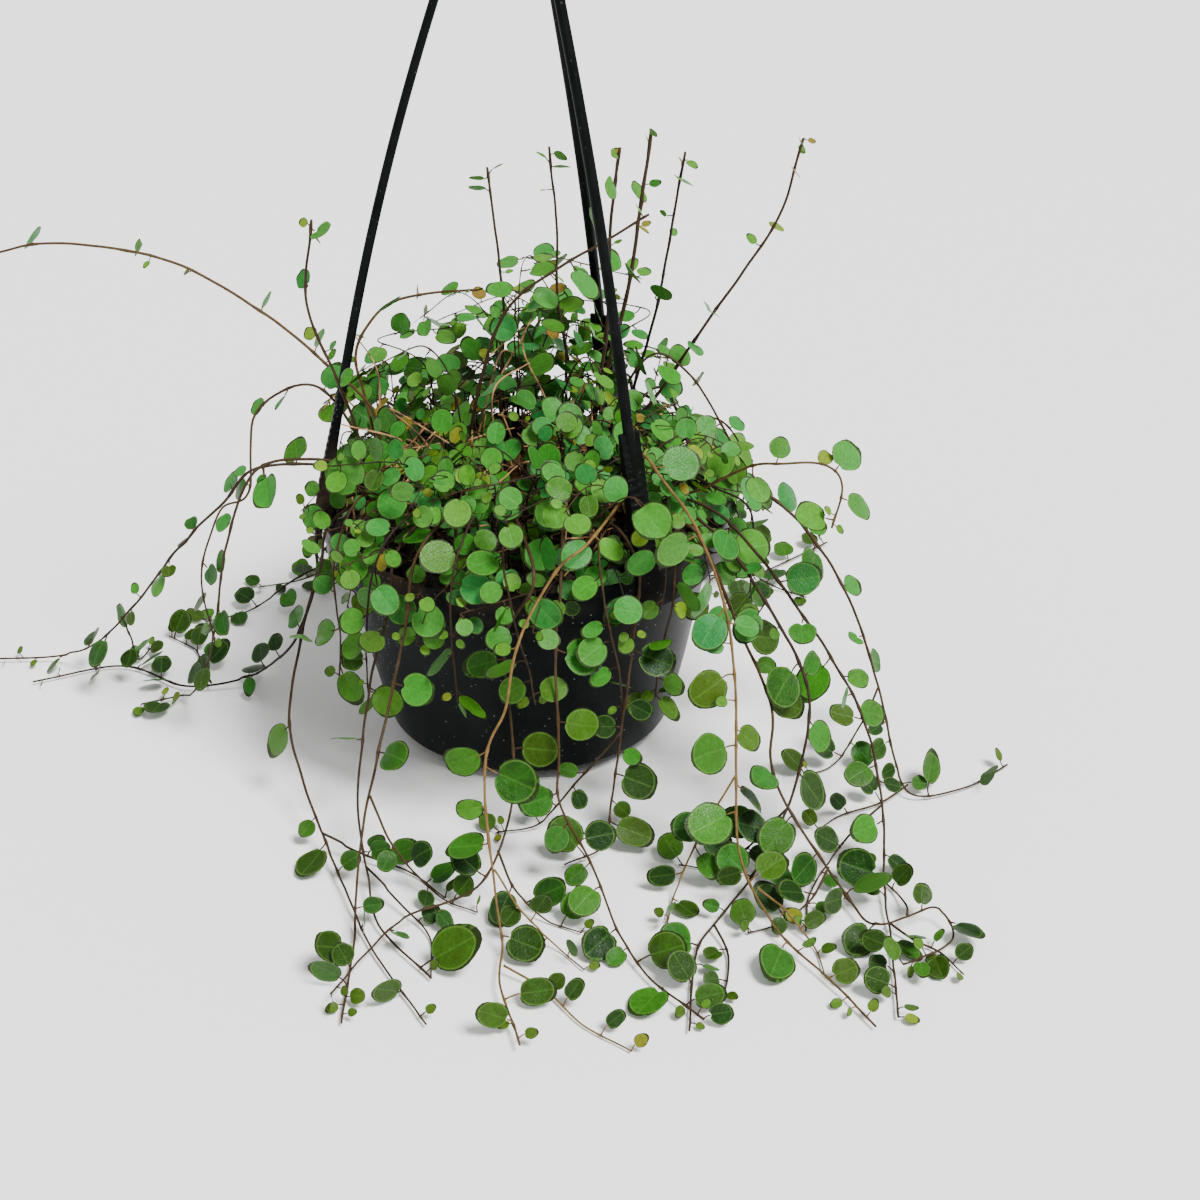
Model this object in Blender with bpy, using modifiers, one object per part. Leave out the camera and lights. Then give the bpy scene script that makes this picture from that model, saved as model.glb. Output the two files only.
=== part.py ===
"""Wire vine in a black hanging pot, standing on a surface, with its stems trailing around it.

The origin is the centre of the pot's flat base and +Z is up. Lengths are in metres, and routes
of stems are given as (azimuth in degrees, radius in mm, height in mm) round the pot's axis.
"""

import math
import random
from collections import namedtuple

import bmesh
import bpy
from mathutils import Matrix, Vector, noise
from mathutils.bvhtree import BVHTree

MM = 0.001
GAP = 0.3 * MM
SEED = 11

# Pot
RIM_RADIUS = 100 * MM
POT_HEIGHT = 120 * MM
POT_WALL = 1.6 * MM
COLLAR_FOOT_RADIUS = 98.5 * MM
COLLAR_FOOT = 100 * MM
NECK_RADIUS = 91 * MM
NECK_HEIGHT = 98 * MM
WAIST_RADIUS = 80 * MM
WAIST_HEIGHT = 40 * MM
HEEL_RADIUS = 76 * MM
HEEL_HEIGHT = 22 * MM
FOOT_RADIUS = 72 * MM
FOOT_HEIGHT = 7 * MM
BASE_RADIUS = 62 * MM
INNER_HEIGHTS = (COLLAR_FOOT, NECK_HEIGHT, HEEL_HEIGHT)
POT_STEPS = 30
DRAIN_HOLES = 6
DRAIN_RADIUS = 5 * MM
DRAIN_RING = 40 * MM
DRAIN_CUT = 10 * MM

# Soil
SOIL_EDGE_HEIGHT = 104 * MM
SOIL_CROWN = 20 * MM
SOIL_RELIEF = 2.5 * MM
SOIL_STEPS = 22
SOIL_RINGS = 5
CRUMB_PITCH = 14 * MM
HOLE_DEPTH = 12 * MM
HOLE_ABOVE = 14 * MM
HOLE_SIDES = 4

# Hanger
ARM_AZIMUTHS = (185, 305, 65)
HUB_HEIGHT = 440 * MM
HUB_RADIUS = 8 * MM
HUB_THICKNESS = 8 * MM
STRAP_WIDTH = 4.6 * MM
STRAP_THICKNESS = 4.4 * MM
STRAP_BOW = 9 * MM
STRAP_SPANS = 8
STRAP_INSET = 2 * MM
CLIP_WIDTH = 10 * MM
CLIP_WALL = 1.9 * MM
CLIP_RISE = 64 * MM
CLIP_DROP = 17 * MM
CLIP_INSIDE = 7 * MM
STALK_RADIUS = 2.6 * MM
STALK_LENGTH = 13 * MM
CLIP_LINE = ((99, 100), (99, 112), (99, 124), (95, 144), (90, 166), (85, 190))
HOOK_RADIUS = 13 * MM
HOOK_THICKNESS = 4 * MM
HOOK_CENTRE = 25 * MM
HOOK_START = -100
HOOK_TURN = 252
HOOK_SPANS = 9

# Stems and leaves
STEM_RADIUS = 1.3 * MM
TIP_RADIUS = 1.15 * MM
STEM_SIDES = 3
BLADE_THICKNESS = 0.8 * MM
BLADE_SIZE = 18 * MM
BLADE_LENGTH = 19.4 * MM
BLADE_WIDTH = 19.1 * MM
BIG_BLADE = 17
PETIOLE_LENGTH = 4 * MM
PETIOLE_WIDTH = 1.1 * MM
PETIOLE_ROOT = 0.7 * MM
STEM_SLACK = 3.2 * MM
CLEARANCE = 0.35 * MM
FLOOR_CLEARANCE = 0.5 * MM
ROOT_SPACING = 7.5 * MM
STEM_START = 2 * MM
STEM_TRIES = 200
LEAF_TRIES = 60
LEAF_SHRINK = 0.4
LEAF_PLAY = 0.5
LOOSE_PLAY = 2.0
LOOSE_SHARE = 0.35
PLAY_STEP = 0.06
LIGHT_OUT = 0.75
LIGHT = (0.0, -0.3, 0.75)

Stem = namedtuple("Stem", "name route leaves")
Leaf = namedtuple("Leaf", "matrix corners centre radius proxy")

# The long stems. A route starts where the stem leaves the crown. A leaf is (share of the stem's
# length, size in mm), and a negative share puts it on the stem's other side.
LONG_STEMS = (
    Stem("whip_left", [(172, 74, 159), (174, 96, 186), (171, 124, 206), (167, 174, 226),
                       (165, 235, 228), (165, 272, 220), (165, 292, 210)],
         [(0.30, 10), (0.41, 9), (-0.55, 8), (0.66, 9), (0.86, 14)]),
    Stem("whip_left_upright", [(190, 80, 160), (194, 88, 190), (192, 99, 227), (192, 94, 266)],
         [(0.50, 10), (-0.65, 9), (-0.80, 9), (0.97, 11)]),
    Stem("whip_left_inward", [(161, 84, 160), (160, 88, 184), (156, 75, 206), (148, 57, 213), (129, 36, 216)],
         [(0.40, 12), (-0.55, 10), (0.72, 14), (-0.80, 9), (0.92, 8)]),
    Stem("drop_left_a", [(180, 78, 152), (186, 96, 166), (185, 124, 165), (188, 146, 146), (191, 159, 120),
                         (194, 163, 92), (198, 158, 66)],
         [(0.18, 15), (0.30, 13), (-0.38, 9), (0.44, 9), (0.61, 11), (-0.82, 12), (0.90, 10)]),
    Stem("drop_left_b", [(202, 84, 148), (201, 108, 157), (200, 130, 154), (200, 148, 122), (196, 155, 80),
                         (188, 163, 38), (182, 172, 12), (179, 184, 4), (181, 200, 3)],
         [(-0.29, 17), (0.40, 10), (0.51, 11), (-0.58, 12), (0.66, 11), (-0.76, 12), (0.86, 12),
          (-0.96, 14)]),
    Stem("trail_left_far", [(196, 88, 146), (194, 126, 151), (191, 144, 130), (184, 172, 96), (179, 196, 60),
                            (175, 228, 26), (171, 256, 6), (172, 290, 3)],
         [(0.18, 14), (0.30, 11), (0.44, 13), (-0.53, 12), (-0.73, 15), (0.80, 12), (-0.88, 10)]),
    Stem("trail_left_near", [(205, 80, 138), (204, 104, 130), (198, 106, 92), (194, 118, 55), (180, 136, 22),
                             (175, 152, 8), (176, 182, 4), (171, 222, 3), (176, 264, 3)],
         [(0.20, 13), (0.38, 12), (0.62, 13), (0.69, 14), (-0.75, 12), (0.83, 13), (-0.90, 12)]),
    Stem("trail_front_left", [(212, 80, 140), (209, 102, 130), (208, 108, 108), (211, 121, 82),
                              (217, 138, 45), (224, 144, 22), (236, 160, 9), (246, 184, 5), (253, 210, 3),
                              (262, 250, 3)],
         [(0.14, 15), (-0.32, 12), (0.44, 17), (0.63, 17), (-0.80, 13), (0.94, 19)]),
    Stem("trail_front_a", [(238, 78, 142), (237, 102, 132), (236, 107, 108), (232, 113, 70), (235, 128, 46),
                           (240, 148, 24), (247, 172, 9), (252, 195, 4), (261, 222, 3)],
         [(0.15, 15), (-0.26, 14), (0.39, 13), (0.52, 14), (-0.71, 11), (0.82, 15), (-0.97, 22)]),
    Stem("trail_front_b", [(246, 78, 146), (245, 104, 134), (243, 112, 106), (240, 124, 66), (244, 156, 32),
                           (248, 186, 10), (250, 208, 4), (254, 256, 3)],
         [(0.14, 15), (-0.28, 15), (-0.41, 15), (-0.52, 16), (0.85, 19), (0.92, 14)]),
    Stem("trail_front_c", [(272, 80, 142), (271, 104, 130), (270, 110, 92), (268, 118, 56), (267, 142, 24),
                           (263, 165, 8), (257, 194, 4), (253, 220, 3), (253, 252, 3)],
         [(0.13, 16), (-0.26, 16), (0.38, 15), (-0.51, 17), (0.71, 14), (0.95, 13)]),
    Stem("arch_golden", [(305, 70, 140), (308, 85, 152), (289, 104, 150), (278, 116, 134), (269, 128, 108),
                         (266, 137, 88), (265, 154, 62), (266, 185, 30), (267, 206, 11), (269, 228, 4),
                         (271, 256, 3)],
         [(0.12, 20), (-0.22, 14), (0.30, 15), (0.56, 17), (-0.58, 19), (0.63, 12), (0.68, 17), (-0.80, 16),
          (-0.91, 15), (0.96, 14)]),
    Stem("arch_tan", [(309, 68, 156), (309, 84, 172), (309, 100, 166), (312, 118, 146), (314, 134, 117),
                      (311, 150, 86), (306, 168, 52), (301, 188, 20), (300, 222, 5), (301, 258, 3),
                      (301, 292, 3)],
         [(0.08, 16), (-0.20, 17), (0.30, 18), (0.40, 17), (-0.42, 12), (0.48, 18), (-0.55, 12), (0.57, 19),
          (-0.62, 15), (0.65, 20), (0.73, 11), (-0.74, 14), (0.83, 21), (-0.91, 11)]),
    Stem("arch_right", [(334, 76, 132), (334, 96, 146), (334, 116, 160), (332, 134, 167), (334, 152, 168),
                        (335, 160, 158), (331, 160, 142)],
         [(0.16, 15), (-0.35, 14), (0.50, 13), (-0.80, 15), (-0.89, 14), (0.97, 16)]),
    Stem("trail_right_a", [(330, 78, 138), (329, 104, 138), (328, 128, 123), (331, 152, 90), (331, 174, 62),
                           (328, 192, 38), (323, 208, 16), (315, 230, 5), (309, 256, 3), (303, 290, 3)],
         [(0.18, 16), (-0.28, 16), (0.34, 13), (0.41, 19), (0.47, 11), (-0.49, 13), (0.57, 14), (0.65, 16),
          (-0.70, 13), (0.74, 17), (-0.86, 15), (0.88, 12), (0.95, 12)]),
    Stem("trail_right_b", [(2, 78, 140), (0, 104, 130), (356, 134, 110), (353, 160, 73), (347, 178, 34),
                           (339, 192, 11), (335, 206, 4), (340, 228, 3), (346, 244, 3)],
         [(0.14, 17), (-0.25, 16), (0.35, 19), (-0.43, 13), (-0.56, 12), (0.70, 12), (-0.83, 16),
          (0.93, 13)]),
    Stem("trail_right_c", [(326, 80, 138), (326, 108, 130), (324, 138, 106), (323, 164, 70), (316, 175, 36),
                           (307, 184, 13), (298, 197, 5), (291, 216, 3), (286, 262, 3)],
         [(-0.20, 18), (0.29, 18), (0.38, 20), (-0.46, 15), (-0.53, 19), (0.62, 16), (-0.66, 14), (0.70, 15),
          (0.84, 16), (0.92, 15)]),
    Stem("trail_right_d", [(318, 78, 140), (318, 108, 128), (320, 134, 96), (319, 156, 64), (313, 180, 30),
                           (309, 210, 9), (310, 236, 4), (314, 256, 4), (313, 270, 4), (307, 272, 4)],
         [(0.22, 18), (-0.32, 18), (-0.42, 18), (0.52, 18), (0.58, 18), (0.64, 15), (-0.70, 17), (0.71, 15),
          (0.77, 17), (-0.88, 16), (-0.95, 14)]),
    Stem("trail_front_d", [(283, 80, 140), (282, 104, 130), (279, 110, 92), (276, 122, 60), (276, 142, 34),
                           (281, 166, 12), (284, 198, 5), (285, 230, 3), (288, 264, 3)],
         [(0.14, 16), (-0.32, 17), (-0.43, 16), (0.54, 15), (-0.62, 14), (0.70, 15), (0.78, 16), (-0.85, 17),
          (0.91, 18), (-0.96, 13)]),
    Stem("trail_front_e", [(300, 82, 140), (300, 106, 130), (298, 108, 90), (293, 116, 50), (289, 126, 20),
                           (286, 136, 6), (278, 142, 3)],
         [(0.33, 16), (-0.46, 17), (0.54, 15), (-0.74, 17), (-0.85, 18), (0.95, 17)]),
    Stem("whip_right_tall", [(29, 50, 140), (25, 68, 158), (20, 92, 196), (16, 108, 224), (14, 124, 252),
                             (14, 134, 288)],
         [(0.22, 13), (0.34, 12), (-0.43, 12), (-0.52, 12), (0.77, 9), (-0.92, 8)]),
    Stem("whip_back_left", [(109, 42, 160), (105, 41, 196), (108, 42, 232), (113, 44, 272)],
         [(0.30, 11), (-0.60, 9), (0.93, 8)]),
    Stem("whip_back", [(69, 62, 150), (76, 62, 199), (76, 62, 235), (79, 61, 276)],
         [(-0.30, 12), (0.60, 10), (-0.94, 8)]),
    Stem("whip_middle", [(16, 34, 150), (14, 41, 210), (14, 42, 251), (13, 46, 290)],
         [(0.25, 13), (-0.45, 13), (0.64, 13), (-0.90, 11)]),
    Stem("whip_woody", [(42, 44, 147), (32, 57, 210), (29, 62, 250), (27, 67, 292)],
         [(-0.35, 12), (-0.59, 13), (0.80, 11)]),
    Stem("whip_back_right", [(44, 72, 150), (38, 81, 198), (36, 86, 233), (34, 92, 276)],
         [(0.30, 12), (-0.55, 12), (-0.93, 11)]),
    Stem("whip_inward", [(180, 26, 155), (180, 10, 212), (0, 16, 236), (0, 36, 248), (0, 58, 262)],
         [(0.30, 13), (-0.45, 13), (0.62, 13), (0.76, 16), (-0.86, 13)]),
    Stem("arch_crown_right", [(24, 48, 160), (18, 66, 186), (13, 84, 176), (6, 98, 150), (0, 106, 130)],
         [(0.20, 14), (-0.40, 14), (0.52, 13), (-0.65, 11), (0.80, 14), (-0.95, 14)]),
)
CASCADE_AZIMUTHS = (222, 236, 255, 266, 290, 310, 340, 14, 95, 132)
TRAIL_AZIMUTHS = (48, 62, 78, 95, 112, 128, 142)
CROWN_SHOOTS = 12
CROWN_FORK = 0.4
CROWN_RISE = 20
GOLDEN_ANGLE = 137.5
YOUNG_STEMS = ("arch_golden", "arch_tan", "arch_right", "trail_right_d", "whip_left", "whip_left_inward")


def polar(azimuth, radius, height):
    """The point at an azimuth in degrees and a radius and height in mm."""
    angle = math.radians(azimuth)
    return Vector((radius * math.cos(angle), radius * math.sin(angle), height)) * MM


# Scene and meshes


def clear_scene():
    for obj in list(bpy.data.objects):
        bpy.data.objects.remove(obj, do_unlink=True)


def new_collection(name, hidden=False):
    collection = bpy.data.collections.new(name)
    bpy.context.scene.collection.children.link(collection)
    collection.hide_render = hidden
    return collection


def plain_material(name, colour, roughness):
    material = bpy.data.materials.new(name)
    material.use_nodes = True
    shader = material.node_tree.nodes["Principled BSDF"]
    shader.inputs["Base Color"].default_value = (*colour, 1.0)
    shader.inputs["Roughness"].default_value = roughness
    shader.inputs["Metallic"].default_value = 0.0
    return material


def add_object(name, data, collection, helper=False):
    obj = bpy.data.objects.new(name, data)
    collection.objects.link(obj)
    if helper:
        obj.hide_render = True
        obj.display_type = "WIRE"
    return obj


def evaluated_mesh(obj):
    graph = bpy.context.evaluated_depsgraph_get()
    return bpy.data.meshes.new_from_object(obj.evaluated_get(graph))


def apply_modifiers(obj):
    mesh = evaluated_mesh(obj)
    obj.modifiers.clear()
    obj.data = mesh


def curve_to_mesh(obj, name, collection, helper=True):
    """A mesh object in place of a curve, with its caps welded to its sides."""
    bpy.context.view_layer.update()
    mesh = evaluated_mesh(obj)
    made = add_object(name, mesh, collection, helper)
    made.matrix_world = obj.matrix_world
    bpy.data.objects.remove(obj, do_unlink=True)
    shape = bmesh.new()
    shape.from_mesh(mesh)
    bmesh.ops.remove_doubles(shape, verts=shape.verts, dist=1e-6)
    bmesh.ops.recalc_face_normals(shape, faces=shape.faces)
    shape.to_mesh(mesh)
    shape.free()
    return made


def poly_curve(name, points, collection, cyclic=False, flat=False):
    curve = bpy.data.curves.new(name, "CURVE")
    curve.dimensions = "2D" if flat else "3D"
    spline = curve.splines.new("POLY")
    spline.points.add(len(points) - 1)
    for point, place in zip(spline.points, points):
        point.co = (*place, 0.0, 1.0) if flat else (*place, 1.0)
    spline.use_cyclic_u = cyclic
    return add_object(name, curve, collection, helper=True)


def plate(name, outline, thickness, collection):
    """A flat outline in its own XY plane, given a thickness along its Z."""
    obj = poly_curve(name, outline, collection, cyclic=True, flat=True)
    obj.data.fill_mode = "BOTH"
    obj.data.extrude = thickness / 2
    return curve_to_mesh(obj, name, collection)


def turned(name, profile, steps, collection):
    """A profile of (radius, height) turned round Z. It runs down its outer side."""
    shape = bmesh.new()
    points = [shape.verts.new((radius, 0.0, height)) for radius, height in profile]
    for a, b in zip(points, points[1:]):
        shape.edges.new((a, b))
    mesh = bpy.data.meshes.new(name)
    shape.to_mesh(mesh)
    shape.free()
    obj = add_object(name, mesh, collection)
    screw = obj.modifiers.new("turn", "SCREW")
    screw.axis = "Z"
    screw.steps = screw.render_steps = steps
    screw.use_merge_vertices = True
    screw.merge_threshold = 1e-6
    apply_modifiers(obj)
    return obj


def combine(obj, others, operation):
    """Joins every object of a collection to this one, or cuts them out of it, and removes them."""
    boolean = obj.modifiers.new("combine", "BOOLEAN")
    boolean.operation = operation
    boolean.solver = "EXACT"
    boolean.operand_type = "COLLECTION"
    boolean.collection = others
    apply_modifiers(obj)
    for piece in list(others.objects):
        bpy.data.objects.remove(piece, do_unlink=True)


def add_cylinder(name, centre, radius, depth, sides, collection, helper=True):
    shape = bmesh.new()
    bmesh.ops.create_cone(shape, cap_ends=True, segments=sides, radius1=radius, radius2=radius, depth=depth)
    mesh = bpy.data.meshes.new(name)
    shape.to_mesh(mesh)
    shape.free()
    obj = add_object(name, mesh, collection, helper)
    obj.location = centre
    return obj


# Pot and soil


def pot_outside():
    """The pot's outer side, from the rim down to the edge of its base."""
    return [
        (RIM_RADIUS, POT_HEIGHT),
        (COLLAR_FOOT_RADIUS, COLLAR_FOOT),
        (NECK_RADIUS, NECK_HEIGHT),
        (WAIST_RADIUS, WAIST_HEIGHT),
        (HEEL_RADIUS, HEEL_HEIGHT),
        (FOOT_RADIUS, FOOT_HEIGHT),
        (BASE_RADIUS, 0.0),
    ]


def pot_inside():
    """The pot's inner side, from the middle of its floor up to the rim."""
    lower = [(radius - POT_WALL, height) for radius, height in pot_outside() if height in INNER_HEIGHTS]
    return [
        (0.0, POT_WALL),
        (BASE_RADIUS - POT_WALL, POT_WALL),
        *reversed(lower),
        (RIM_RADIUS - POT_WALL, POT_HEIGHT),
    ]


def make_pot(collection, cutters):
    pot = turned("pot", pot_inside() + pot_outside() + [(0.0, 0.0)], POT_STEPS, collection)
    for i in range(DRAIN_HOLES):
        centre = polar(360 * (i + 0.5) / DRAIN_HOLES, DRAIN_RING / MM, 0)
        add_cylinder(f"drain_{i}", centre, DRAIN_RADIUS, DRAIN_CUT, 8, cutters)
    combine(pot, cutters, "DIFFERENCE")
    return pot


def soil_height(x, y):
    """The height of the soil: a low mound with crumbs on it."""
    share = min(1.0, math.hypot(x, y) / NECK_RADIUS)
    mound = SOIL_EDGE_HEIGHT + SOIL_CROWN * (1 - share**2)
    crumbs = noise.noise(Vector((x, y, 0.0)) / CRUMB_PITCH) * SOIL_RELIEF
    return mound + crumbs * (1 - share**6)


def make_soil(collection, cutters, roots):
    """The soil as one solid that fills the pot with a gap all round, with a hole for every stem."""
    facet = math.cos(math.pi / POT_STEPS)
    shrink = POT_WALL + 1.2 * GAP
    floor = POT_WALL + GAP
    below = [(radius, height) for radius, height in pot_outside() if height in INNER_HEIGHTS[1:]]
    side = [(COLLAR_FOOT_RADIUS, COLLAR_FOOT + GAP), *below, (BASE_RADIUS, floor)]
    top = [(0.94 * NECK_RADIUS * i / SOIL_RINGS, POT_HEIGHT) for i in range(SOIL_RINGS + 1)]
    profile = [*top, *(((radius - shrink) * facet, height) for radius, height in side), (0.0, floor)]
    soil = turned("soil", profile, SOIL_STEPS, collection)
    for vertex in soil.data.vertices:
        if vertex.co.z > POT_HEIGHT - MM:
            vertex.co.z = soil_height(vertex.co.x, vertex.co.y)
    radius = (STEM_RADIUS + GAP) / math.cos(math.pi / HOLE_SIDES)
    for i, root in enumerate(roots):
        bottom = soil_height(root.x, root.y) - HOLE_DEPTH - GAP
        height = HOLE_DEPTH + HOLE_ABOVE
        centre = (root.x, root.y, bottom + height / 2)
        add_cylinder(f"hole_{i}", centre, radius, height, HOLE_SIDES, cutters)
    combine(soil, cutters, "DIFFERENCE")
    return soil


# Hanger


def strap_line():
    """The strap's middle line in its own plane, from the hub down to the top of the foot."""
    top = Vector((HUB_RADIUS * 0.5, HUB_HEIGHT))
    foot = Vector((RIM_RADIUS - STRAP_INSET, POT_HEIGHT + STRAP_INSET))
    out = Vector((top.y - foot.y, foot.x - top.x)).normalized()
    points = []
    for i in range(STRAP_SPANS + 1):
        share = i / STRAP_SPANS
        bow = STRAP_BOW * math.sin(math.pi * share)
        points.append(top.lerp(foot, share) + out * bow)
    return points


def strip_outline(points, thickness):
    """Both edges of a strip of even thickness along a line of points."""
    left, right = [], []
    for i, point in enumerate(points):
        along = (points[min(i + 1, len(points) - 1)] - points[max(i - 1, 0)]).normalized()
        across = Vector((-along.y, along.x)) * thickness / 2
        left.append(point + across)
        right.append(point - across)
    return left + right[::-1]


def clip_outline():
    """The foot's side view: a strip that comes down inside the bow and folds over the rim."""
    lean = (RIM_RADIUS - COLLAR_FOOT_RADIUS) * CLIP_INSIDE / (POT_HEIGHT - COLLAR_FOOT)
    facet = math.cos(math.pi / POT_STEPS)
    inner = (RIM_RADIUS - lean - POT_WALL) * facet - 1.5 * GAP
    outer = RIM_RADIUS + GAP
    wall = CLIP_WALL
    roof = POT_HEIGHT + GAP
    line = strap_line()
    rise = (line[-2] - line[-1]).normalized() * CLIP_RISE
    return [
        (inner - wall, roof - CLIP_INSIDE),
        (inner, roof - CLIP_INSIDE),
        (inner, roof),
        (outer, roof),
        (outer, roof - CLIP_DROP),
        (outer + wall, roof - CLIP_DROP),
        (outer + wall, roof + wall),
        (inner + wall + rise.x, roof + wall + rise.y),
        (inner - 0.2 * wall + rise.x, roof + wall + rise.y),
        (inner - wall, roof + wall),
    ]


def hook_outline():
    """A flat hook above the hub: a ring that is open on one side."""
    centre = Vector((0.0, HUB_HEIGHT + HOOK_CENTRE))
    outer, inner = [], []
    for i in range(HOOK_SPANS + 1):
        angle = math.radians(HOOK_START + HOOK_TURN * i / HOOK_SPANS)
        along = Vector((math.cos(angle), math.sin(angle)))
        outer.append(centre + along * (HOOK_RADIUS + HOOK_THICKNESS / 2))
        inner.append(centre + along * (HOOK_RADIUS - HOOK_THICKNESS / 2))
    return outer + inner[::-1]


def stand_up(obj, azimuth):
    """Turns a plate so that its X runs outwards at an azimuth and its Y runs up."""
    obj.matrix_world = Matrix.Rotation(math.radians(azimuth), 4, "Z") @ Matrix.Rotation(math.pi / 2, 4, "X")


def make_hanger(collection, helpers):
    """Three straps that hold the rim with clips and meet in a hub under a hook."""
    centre = (0.0, 0.0, HUB_HEIGHT)
    hanger = add_cylinder("hanger", centre, HUB_RADIUS, HUB_THICKNESS, 10, collection, helper=False)
    stalk = (0.0, 0.0, HUB_HEIGHT + STALK_LENGTH / 2)
    add_cylinder("stalk", stalk, STALK_RADIUS, STALK_LENGTH, 6, helpers)
    stand_up(plate("hook", hook_outline(), HOOK_THICKNESS, helpers), 0)
    for azimuth in ARM_AZIMUTHS:
        strap = strip_outline(strap_line(), STRAP_THICKNESS)
        stand_up(plate(f"strap_{azimuth}", strap, STRAP_WIDTH, helpers), azimuth)
        stand_up(plate(f"clip_{azimuth}", clip_outline(), CLIP_WIDTH, helpers), azimuth)
    combine(hanger, helpers, "UNION")
    return hanger


# Routes of the stems


def smooth_line(points, steps=10):
    """A curve through the points, as close short straight runs."""
    line = []
    ends = [points[0] * 2 - points[1], *points, points[-1] * 2 - points[-2]]
    for a, b, c, d in zip(ends, ends[1:], ends[2:], ends[3:]):
        for i in range(steps):
            t = i / steps
            line.append(
                b + (c - a) * (t / 2) + (a * 2 - b * 5 + c * 4 - d) * (t * t / 2)
                + (b * 3 - a - c * 3 + d) * (t**3 / 2)
            )
    line.append(points[-1].copy())
    return line


class Line:
    """A line of straight runs that can be read at any share of its length."""

    def __init__(self, points):
        self.points = points
        self.reach = [0.0]
        for a, b in zip(points, points[1:]):
            self.reach.append(self.reach[-1] + (b - a).length)
        self.length = self.reach[-1]

    def at(self, share):
        """The point at a share of the length, and the direction there."""
        wanted = min(max(share, 0.0), 1.0) * self.length
        i = 1
        while i < len(self.reach) - 1 and self.reach[i] < wanted:
            i += 1
        span = max(self.reach[i] - self.reach[i - 1], 1e-9)
        a, b = self.points[i - 1], self.points[i]
        return a.lerp(b, (wanted - self.reach[i - 1]) / span), (b - a).normalized()


def fewer_points(points, slack):
    """The points that keep a line within a slack of its shape."""
    a, b = points[0], points[-1]
    along = (b - a).normalized()
    away = [((p - a) - along * (p - a).dot(along)).length for p in points]
    worst = max(range(len(points)), key=away.__getitem__)
    if away[worst] <= slack:
        return [a, b]
    return fewer_points(points[: worst + 1], slack)[:-1] + fewer_points(points[worst:], slack)


def even_leaves(count, first, last, size, rng):
    """Leaves at even steps with a little play, on alternate sides."""
    step = (last - first) / max(count - 1, 1)
    found = []
    for i in range(count):
        share = min(first + step * (i + rng.uniform(-0.25, 0.25)), 0.985)
        found.append((share * (-1) ** i, size * (1.12 - 0.26 * share) * rng.uniform(0.88, 1.1)))
    return found


def root_place(azimuth, radius, roots):
    """The nearest free place for a stem's hole, next to the wanted one."""
    for turn in range(60):
        shift = (turn + 1) // 2 * 4 * (-1) ** turn
        place = polar(azimuth + shift, min(radius, 80) - 3 * (turn % 3), 0)
        if all((place - other).length > ROOT_SPACING for other in roots):
            return place
    raise ValueError("no free place for a stem's hole")


def tube_proxy(points, radius):
    """A square tube for clearance tests, round everything within a radius of the line."""
    verts, faces = [], []
    for i, point in enumerate(points):
        along = points[min(i + 1, len(points) - 1)] - points[max(i - 1, 0)]
        turn = along.to_track_quat("Z", "Y")
        for k in range(4):
            angle = math.pi / 4 + k * math.pi / 2
            verts.append(point + turn @ Vector((math.cos(angle), math.sin(angle), 0.0)) * radius)
    for i in range(len(points) - 1):
        for k in range(4):
            a, b = 4 * i + k, 4 * i + (k + 1) % 4
            faces.append((a, b, b + 4, a + 4))
    return BVHTree.FromPolygons(verts, faces)


def turned_proxy(profile, steps=36):
    """A turned surface for clearance tests."""
    verts, faces = [], []
    for radius, height in profile:
        for k in range(steps):
            verts.append(polar(360 * k / steps, radius / MM, height / MM))
    for i in range(len(profile) - 1):
        for k in range(steps):
            a, b = steps * i + k, steps * i + (k + 1) % steps
            faces.append((a, b, b + steps, a + steps))
    return BVHTree.FromPolygons(verts, faces)


def hanger_proxies():
    """Tubes round the hanger's straps and clips, with room for the swing of a leaf."""
    found = []
    for azimuth in ARM_AZIMUTHS:
        line = [polar(azimuth, p.x / MM, p.y / MM) for p in strap_line()]
        found.append(tube_proxy(line, STRAP_WIDTH * 0.5 + 2.6 * MM))
        clip = [polar(azimuth, *point) for point in CLIP_LINE]
        found.append(tube_proxy(clip, CLIP_WIDTH * 0.5 + 2.6 * MM))
    return found


def jittered(route, rng, amount):
    """The route with its points moved a little. What lies on the surface stays on it."""
    moved = []
    for azimuth, radius, height in route:
        on_floor = height < 7
        radius += rng.uniform(-1, 1) * amount
        azimuth += rng.uniform(-1, 1) * amount * 40 / max(radius, 40)
        height += abs(rng.uniform(-1, 1)) * amount * 0.4 if on_floor else rng.uniform(-1, 1) * amount
        moved.append((azimuth, radius, height))
    return moved


def cascade_route(azimuth, rng):
    """A short stem that hangs over the rim in front of the wall."""
    drift = rng.uniform(-10, 10)
    low = rng.uniform(52, 78)
    return [
        (azimuth, 76, 136 + rng.uniform(0, 10)),
        (azimuth, 96, 144 + rng.uniform(-4, 8)),
        (azimuth + drift * 0.2, 111, 132),
        (azimuth + drift * 0.5, 114, 108),
        (azimuth + drift * 0.8, 112, (108 + low) / 2),
        (azimuth + drift, 108 + rng.uniform(0, 8), low),
    ]


def trail_route(azimuth, rng):
    """A long stem that goes over the rim, down to the surface and away from the pot."""
    drift = rng.uniform(-16, 16)
    reach = rng.uniform(215, 275)
    return [
        (azimuth, 78, 140),
        (azimuth, 102, 138 + rng.uniform(0, 8)),
        (azimuth + drift * 0.1, 120, 116),
        (azimuth + drift * 0.25, 134, 78),
        (azimuth + drift * 0.4, 150, 38),
        (azimuth + drift * 0.6, 168, 10),
        (azimuth + drift * 0.8, 190, 4),
        (azimuth + drift, (190 + reach) / 2, 3),
        (azimuth + drift * 1.3, reach, 3),
    ]


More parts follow.
